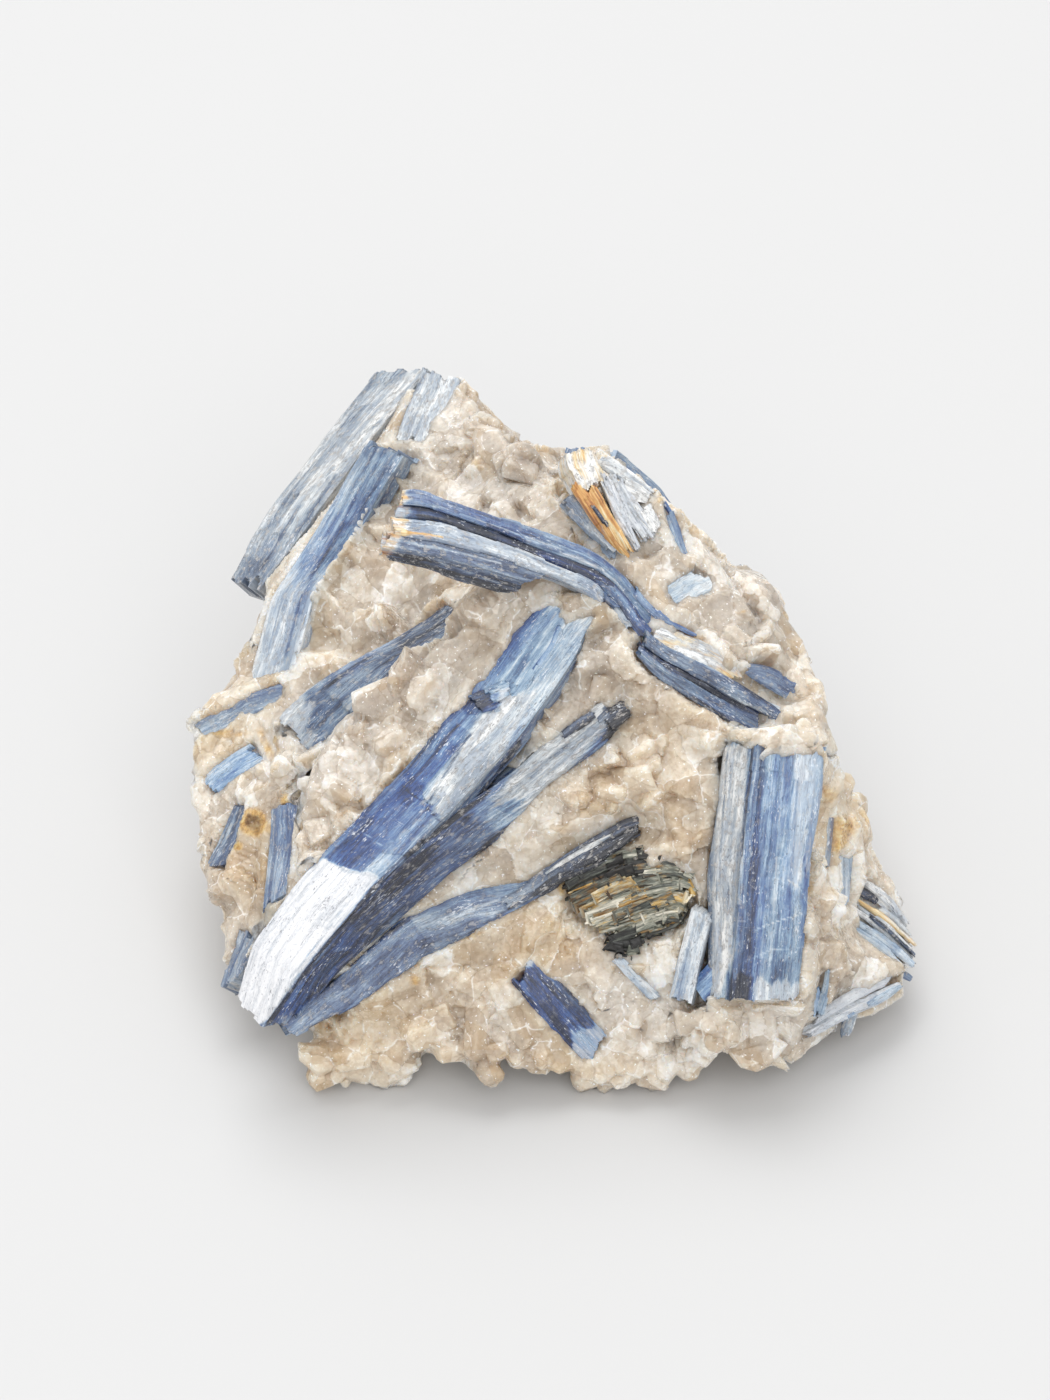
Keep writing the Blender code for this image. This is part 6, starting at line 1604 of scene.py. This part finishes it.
    # iron staining: cream where the blade is pale, brown where it is dark
    r = m.math("ADD", rust, off(streak, 1.0, 0.55))
    r = m.math("ADD", r, off(cloud, 1.3, 0.55))
    r = m.step(r, 0.26, 0.66)
    k = m.math("ADD", m.math("ADD", 0.60, off(fibre, 1.5)), m.math("MULTIPLY", tone, -0.75))
    k = m.math("ADD", k, off(cloud, 0.9), clamp=True)
    rust_colour = m.ramp(k, [(0.00, srgb(110, 64, 28)), (0.22, srgb(182, 116, 48)), (0.42, srgb(216, 166, 92)), (0.62, srgb(232, 208, 156)), (0.85, srgb(242, 234, 214))])
    colour = m.mix(m.math("MULTIPLY", r, 0.95), colour, rust_colour)
    m.link(colour, m.bsdf.inputs["Base Color"])
    rough = m.math("ADD", 0.16, m.math("MULTIPLY", streak, 0.22))
    rough = m.math("ADD", rough, m.math("MULTIPLY", f, 0.12))
    rough = m.math("ADD", rough, m.math("MULTIPLY", r, 0.25), clamp=True)
    m.link(rough, m.bsdf.inputs["Roughness"])
    height = m.math("ADD", m.math("MULTIPLY", streak, 0.7), m.math("MULTIPLY", fibre, 0.35))
    height = m.math("ADD", height, m.math("MULTIPLY", hair, 0.12))
    height = m.math("ADD", height, m.math("MULTIPLY", grit, 0.18))
    height = m.math("ADD", height, m.math("MULTIPLY", crumb, 0.35))
    height = m.math("ADD", height, m.math("MULTIPLY", crack, -0.10))
    bump = m.new("ShaderNodeBump")
    bump.inputs["Strength"].default_value = 0.7
    bump.inputs["Distance"].default_value = 0.00022
    m.link(height, bump.inputs["Height"])
    m.link(bump.outputs["Normal"], m.bsdf.inputs["Normal"])
    m.bsdf.inputs["IOR"].default_value = 1.72
    return m.mat


def mica_material(name):
    m = Nodes(name)
    uv = m.new("ShaderNodeUVMap", uv_map="grain").outputs["UV"]
    tone, gold, slate = m.attr("tone"), m.attr("rust"), m.attr("slate")
    streak = m.noise(m.mapping(uv, (3.0, 0.5, 1), (3, 7, 0)), 1.0, 5.0, 0.65, distortion=0.5)
    fibre = m.noise(m.mapping(uv, (9.0, 1.2, 1), (9, 1, 0)), 1.0, 4.0, 0.6)
    blotch = m.noise(m.mapping(uv, (1.2, 0.7, 1), (2, 5, 0)), 1.0, 4.0, 0.6)
    t = m.math("ADD", tone, m.math("MULTIPLY", m.math("SUBTRACT", streak, 0.5), 1.3))
    t = m.math("ADD", t, m.math("MULTIPLY", m.math("SUBTRACT", fibre, 0.5), 0.8), clamp=True)
    colour = m.ramp(t, [
        (0.00, srgb(236, 230, 214)), (0.22, srgb(204, 200, 184)), (0.42, srgb(150, 152, 138)),
        (0.62, srgb(96, 100, 92)), (0.80, srgb(56, 58, 54)), (1.00, srgb(30, 28, 28))])
    g = m.math("ADD", gold, m.math("MULTIPLY", m.math("SUBTRACT", blotch, 0.5), 1.6))
    g = m.math("ADD", g, m.math("MULTIPLY", m.math("SUBTRACT", fibre, 0.5), 0.6))
    g = m.step(g, 0.35, 0.75)
    ochre = m.ramp(t, [(0.0, srgb(240, 222, 172)), (0.35, srgb(212, 176, 104)), (0.6, srgb(164, 120, 52)), (0.85, srgb(88, 62, 32)), (1.0, srgb(46, 34, 24))])
    colour = m.mix(g, colour, ochre)
    m.link(colour, m.bsdf.inputs["Base Color"])
    rough = m.math("ADD", 0.25, m.math("MULTIPLY", streak, 0.35), clamp=True)
    m.link(rough, m.bsdf.inputs["Roughness"])
    height = m.math("ADD", m.math("MULTIPLY", streak, 0.5), m.math("MULTIPLY", fibre, 0.4))
    bump = m.new("ShaderNodeBump")
    bump.inputs["Strength"].default_value = 0.8
    bump.inputs["Distance"].default_value = 0.0003
    m.link(height, bump.inputs["Height"])
    m.link(bump.outputs["Normal"], m.bsdf.inputs["Normal"])
    m.bsdf.inputs["IOR"].default_value = 1.6
    return m.mat


def facets(m, co, scale, slope):
    """Height of a surface broken into flat facets that each lean their own way, in metres."""
    v = m.new("ShaderNodeTexVoronoi", feature="F1")
    m.put(v.inputs["Vector"], co)
    v.inputs["Scale"].default_value = scale
    rel = m.new("ShaderNodeVectorMath", operation="SUBTRACT")
    m.link(co, rel.inputs[0])
    m.link(v.outputs["Position"], rel.inputs[1])
    lean = m.new("ShaderNodeVectorMath", operation="SUBTRACT")
    m.link(v.outputs["Color"], lean.inputs[0])
    lean.inputs[1].default_value = (0.5, 0.5, 0.5)
    dot = m.new("ShaderNodeVectorMath", operation="DOT_PRODUCT")
    m.link(rel.outputs[0], dot.inputs[0])
    m.link(lean.outputs[0], dot.inputs[1])
    return m.math("MULTIPLY", dot.outputs["Value"], slope), v.outputs["Color"]


def quartz_material(name):
    m = Nodes(name)
    co = m.new("ShaderNodeTexCoord").outputs["Object"]
    grain_tone_and_painted_shading, warm, rust, clean = m.attr("grain_tone_and_painted_shading"), m.attr("warm"), m.attr("rust"), m.attr("clean")
    big = m.noise(m.mapping(co, (140, 140, 140)), 1.0, 3.0)
    mid = m.noise(m.mapping(co, (520, 520, 520), (3, 1, 5)), 1.0, 4.0, 0.6)
    fine = m.noise(m.mapping(co, (2600, 2600, 2600), (1, 8, 2)), 1.0, 3.0)
    h1, c1 = facets(m, co, 480.0, 0.75)
    h2, c2 = facets(m, co, 1500.0, 0.75)
    sep = m.new("ShaderNodeSeparateColor")
    m.link(c1, sep.inputs[0])
    big_cells = m.new("ShaderNodeTexVoronoi", feature="F1")
    bend = m.new("ShaderNodeTexNoise")
    m.link(co, bend.inputs["Vector"])
    bend.inputs["Scale"].default_value = 500.0
    moved = m.new("ShaderNodeVectorMath", operation="MULTIPLY_ADD")
    m.link(bend.outputs["Color"], moved.inputs[0])
    moved.inputs[1].default_value = (0.0016, 0.0016, 0.0016)
    m.link(co, moved.inputs[2])
    m.link(moved.outputs[0], big_cells.inputs["Vector"])
    big_cells.inputs["Scale"].default_value = 300.0
    tint = m.new("ShaderNodeSeparateColor")
    m.link(big_cells.outputs["Color"], tint.inputs[0])
    rim = m.new("ShaderNodeTexVoronoi", feature="DISTANCE_TO_EDGE")
    m.link(moved.outputs[0], rim.inputs["Vector"])
    rim.inputs["Scale"].default_value = 300.0
    # grain tone, carrying the painted shade and painted light of the quartz's blobs
    v = m.math("ADD", m.math("MULTIPLY", grain_tone_and_painted_shading, m.math("ADD", 0.15, m.math("MULTIPLY", clean, 0.05))), m.math("MULTIPLY", mid, 0.45))
    v = m.math("ADD", v, m.math("MULTIPLY", sep.outputs[0], 0.16))
    v = m.math("ADD", v, m.math("MULTIPLY", tint.outputs[0], 0.30))
    v = m.math("ADD", v, m.math("MULTIPLY", m.math("SUBTRACT", fine, 0.5), 0.35), clamp=True)
    clear = m.ramp(v, [(0.20, srgb(166, 154, 142)), (0.42, srgb(192, 182, 170)), (0.62, srgb(215, 207, 196)), (0.85, srgb(243, 240, 236))])
    tan = m.ramp(v, [(0.20, srgb(174, 145, 110)), (0.42, srgb(199, 175, 143)), (0.64, srgb(228, 212, 187)), (0.88, srgb(250, 246, 236))])
    w = m.math("ADD", warm, m.math("MULTIPLY", m.math("SUBTRACT", big, 0.5), 1.2), clamp=True)
    colour = m.mix(w, clear, tan)
    # see-through brownish grains
    smoky = m.step(m.math("ADD", sep.outputs[1], m.math("MULTIPLY", m.math("SUBTRACT", big, 0.5), 0.9)), 0.80, 0.92)
    colour = m.mix(m.math("MULTIPLY", smoky, 0.38), colour, srgb(186, 160, 124))
    # cracks between the crystals: some white, some brown
    seam = m.math("SUBTRACT", 1.0, m.step(rim.outputs["Distance"], 0.0, 0.035))
    pale = m.step(mid, 0.48, 0.56)
    colour = m.mix(m.math("MULTIPLY", seam, m.math("MULTIPLY", pale, 0.6)), colour, srgb(252, 251, 249))
    colour = m.mix(m.math("MULTIPLY", seam, m.math("MULTIPLY", m.math("SUBTRACT", 1.0, pale), 0.35)), colour, srgb(150, 126, 98))
    # painted glints: tiny white specks in the base colour standing in for sparkling facets
    glint = m.noise(m.mapping(co, (3800, 3800, 3800), (7, 8, 2)), 1.0, 1.0)
    colour = m.mix(m.math("MULTIPLY", m.step(glint, 0.68, 0.74), 0.9), colour, srgb(255, 255, 255))
    r = m.math("ADD", rust, m.math("MULTIPLY", m.math("SUBTRACT", mid, 0.55), 1.1))
    r = m.step(r, 0.30, 0.9)
    colour = m.mix(m.math("MULTIPLY", r, 0.85), colour, m.ramp(fine, [(0.3, srgb(146, 104, 54)), (0.5, srgb(204, 162, 92)), (0.7, srgb(226, 200, 144))]))
    dark = m.math("ADD", rust, m.math("MULTIPLY", m.math("SUBTRACT", mid, 0.55), 1.4))
    colour = m.mix(m.math("MULTIPLY", m.step(dark, 1.0, 1.5), 0.85), colour, srgb(88, 64, 44))
    m.link(colour, m.bsdf.inputs["Base Color"])
    rough = m.math("ADD", 0.06, m.math("MULTIPLY", fine, 0.30))
    rough = m.math("ADD", rough, m.math("MULTIPLY", sep.outputs[2], 0.18), clamp=True)
    m.link(rough, m.bsdf.inputs["Roughness"])
    height = m.math("MULTIPLY", m.math("ADD", h1, h2), m.math("SUBTRACT", 1.0, m.math("MULTIPLY", clean, 0.5)))
    height = m.math("ADD", height, m.math("MULTIPLY", mid, 0.0002))
    height = m.math("ADD", height, m.math("MULTIPLY", fine, 0.00005))
    bump = m.new("ShaderNodeBump")
    bump.inputs["Strength"].default_value = 0.8
    bump.inputs["Distance"].default_value = 1.0
    m.link(height, bump.inputs["Height"])
    m.link(bump.outputs["Normal"], m.bsdf.inputs["Normal"])
    m.bsdf.inputs["IOR"].default_value = 1.54
    m.bsdf.inputs["Subsurface Weight"].default_value = 0.9
    m.bsdf.inputs["Subsurface Radius"].default_value = (1.0, 0.86, 0.70)
    m.bsdf.inputs["Subsurface Scale"].default_value = 0.0025
    return m.mat


# ---------------------------------------------------------------- make the pieces
quartz_mat = quartz_material("quartz_look")
kyanite_mat = kyanite_material("kyanite_look")
mica_mat = mica_material("altered_mica_look")
lump = quartz()
lump.data.materials.clear()
lump.data.materials.append(quartz_mat)
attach(lump, "root")
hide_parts("quartz_matrix")

for name in CRYSTALS:
    piece = blade_piece(name)
    piece.data.materials.append(mica_mat if name == "altered_book" else kyanite_mat)
    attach(piece, "root")
    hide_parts(name)

# ---------------------------------------------------------------- floor, light, camera
floor = new_object("floor", [(-3, -3, -0.00005), (3, -3, -0.00005), (3, 3, -0.00005), (-3, 3, -0.00005)], [(0, 1, 2, 3)])
fm = Nodes("floor_look")
fn = fm.noise(fm.mapping(fm.new("ShaderNodeTexCoord").outputs["Object"], (30, 30, 30)), 1.0, 2.0)
fm.link(fm.ramp(fn, [(0.0, (0.60, 0.60, 0.60)), (1.0, (0.605, 0.605, 0.605))]), fm.bsdf.inputs["Base Color"])
fm.bsdf.inputs["Roughness"].default_value = 0.6
fm.bsdf.inputs["Specular IOR Level"].default_value = 0.1
floor.data.materials.append(fm.mat)

world = bpy.data.worlds.new("studio")
bpy.context.scene.world = world
world.use_nodes = True
wn = world.node_tree.nodes
wl = world.node_tree.links
way = wn.new("ShaderNodeTexCoord")
dot = wn.new("ShaderNodeVectorMath")
dot.operation = "DOT_PRODUCT"
dot.inputs[1].default_value = (-0.20, 0.42, 0.88)
sky = wn.new("ShaderNodeValToRGB")
sky.color_ramp.elements[0].position = 0.0
sky.color_ramp.elements[0].color = (0.60, 0.60, 0.60, 1)
sky.color_ramp.elements[1].position = 1.0
sky.color_ramp.elements[1].color = (0.90, 0.90, 0.90, 1)
middle = sky.color_ramp.elements.new(0.55)
middle.color = (0.68, 0.68, 0.68, 1)
wl.new(way.outputs["Generated"], dot.inputs[0])
wl.new(dot.outputs["Value"], sky.inputs["Fac"])
wl.new(sky.outputs["Color"], wn["Background"].inputs["Color"])
wn["Background"].inputs["Strength"].default_value = 1.05


def area(name, place, aim, size, watts):
    data = bpy.data.lights.new(name, "AREA")
    data.shape = "RECTANGLE"
    data.size, data.size_y = size
    data.energy = watts
    obj = bpy.data.objects.new(name, data)
    obj.location = place
    obj.rotation_euler = (Vector(aim) - Vector(place)).to_track_quat("-Z", "Y").to_euler()
    bpy.context.scene.collection.objects.link(obj)
    return obj


area("window", (-0.14, 0.52, 1.0), (0, 0, 0.02), (0.80, 0.80), 7.3)
area("fill", (0.12, -0.66, 0.76), (0, 0, 0.02), (0.95, 0.95), 4.5)

camera = bpy.data.objects.new("camera", bpy.data.cameras.new("camera"))
camera.data.sensor_fit = "VERTICAL"
camera.data.sensor_height = 36.0
camera.data.sensor_width = 36.0
camera.data.lens = 36.0 * EYE_MM / (1400 / UNITS_PER_MM)
camera.data.clip_start = 0.01
target = Vector((0, 0, MID_HEIGHT_MM / 1000))
camera.location = target + TO_EYE * (EYE_MM / 1000)
camera.rotation_euler = (math.radians(90) - LEAN, 0, 0)
bpy.context.scene.collection.objects.link(camera)
bpy.context.scene.camera = camera
bpy.context.scene.view_settings.view_transform = "Standard"
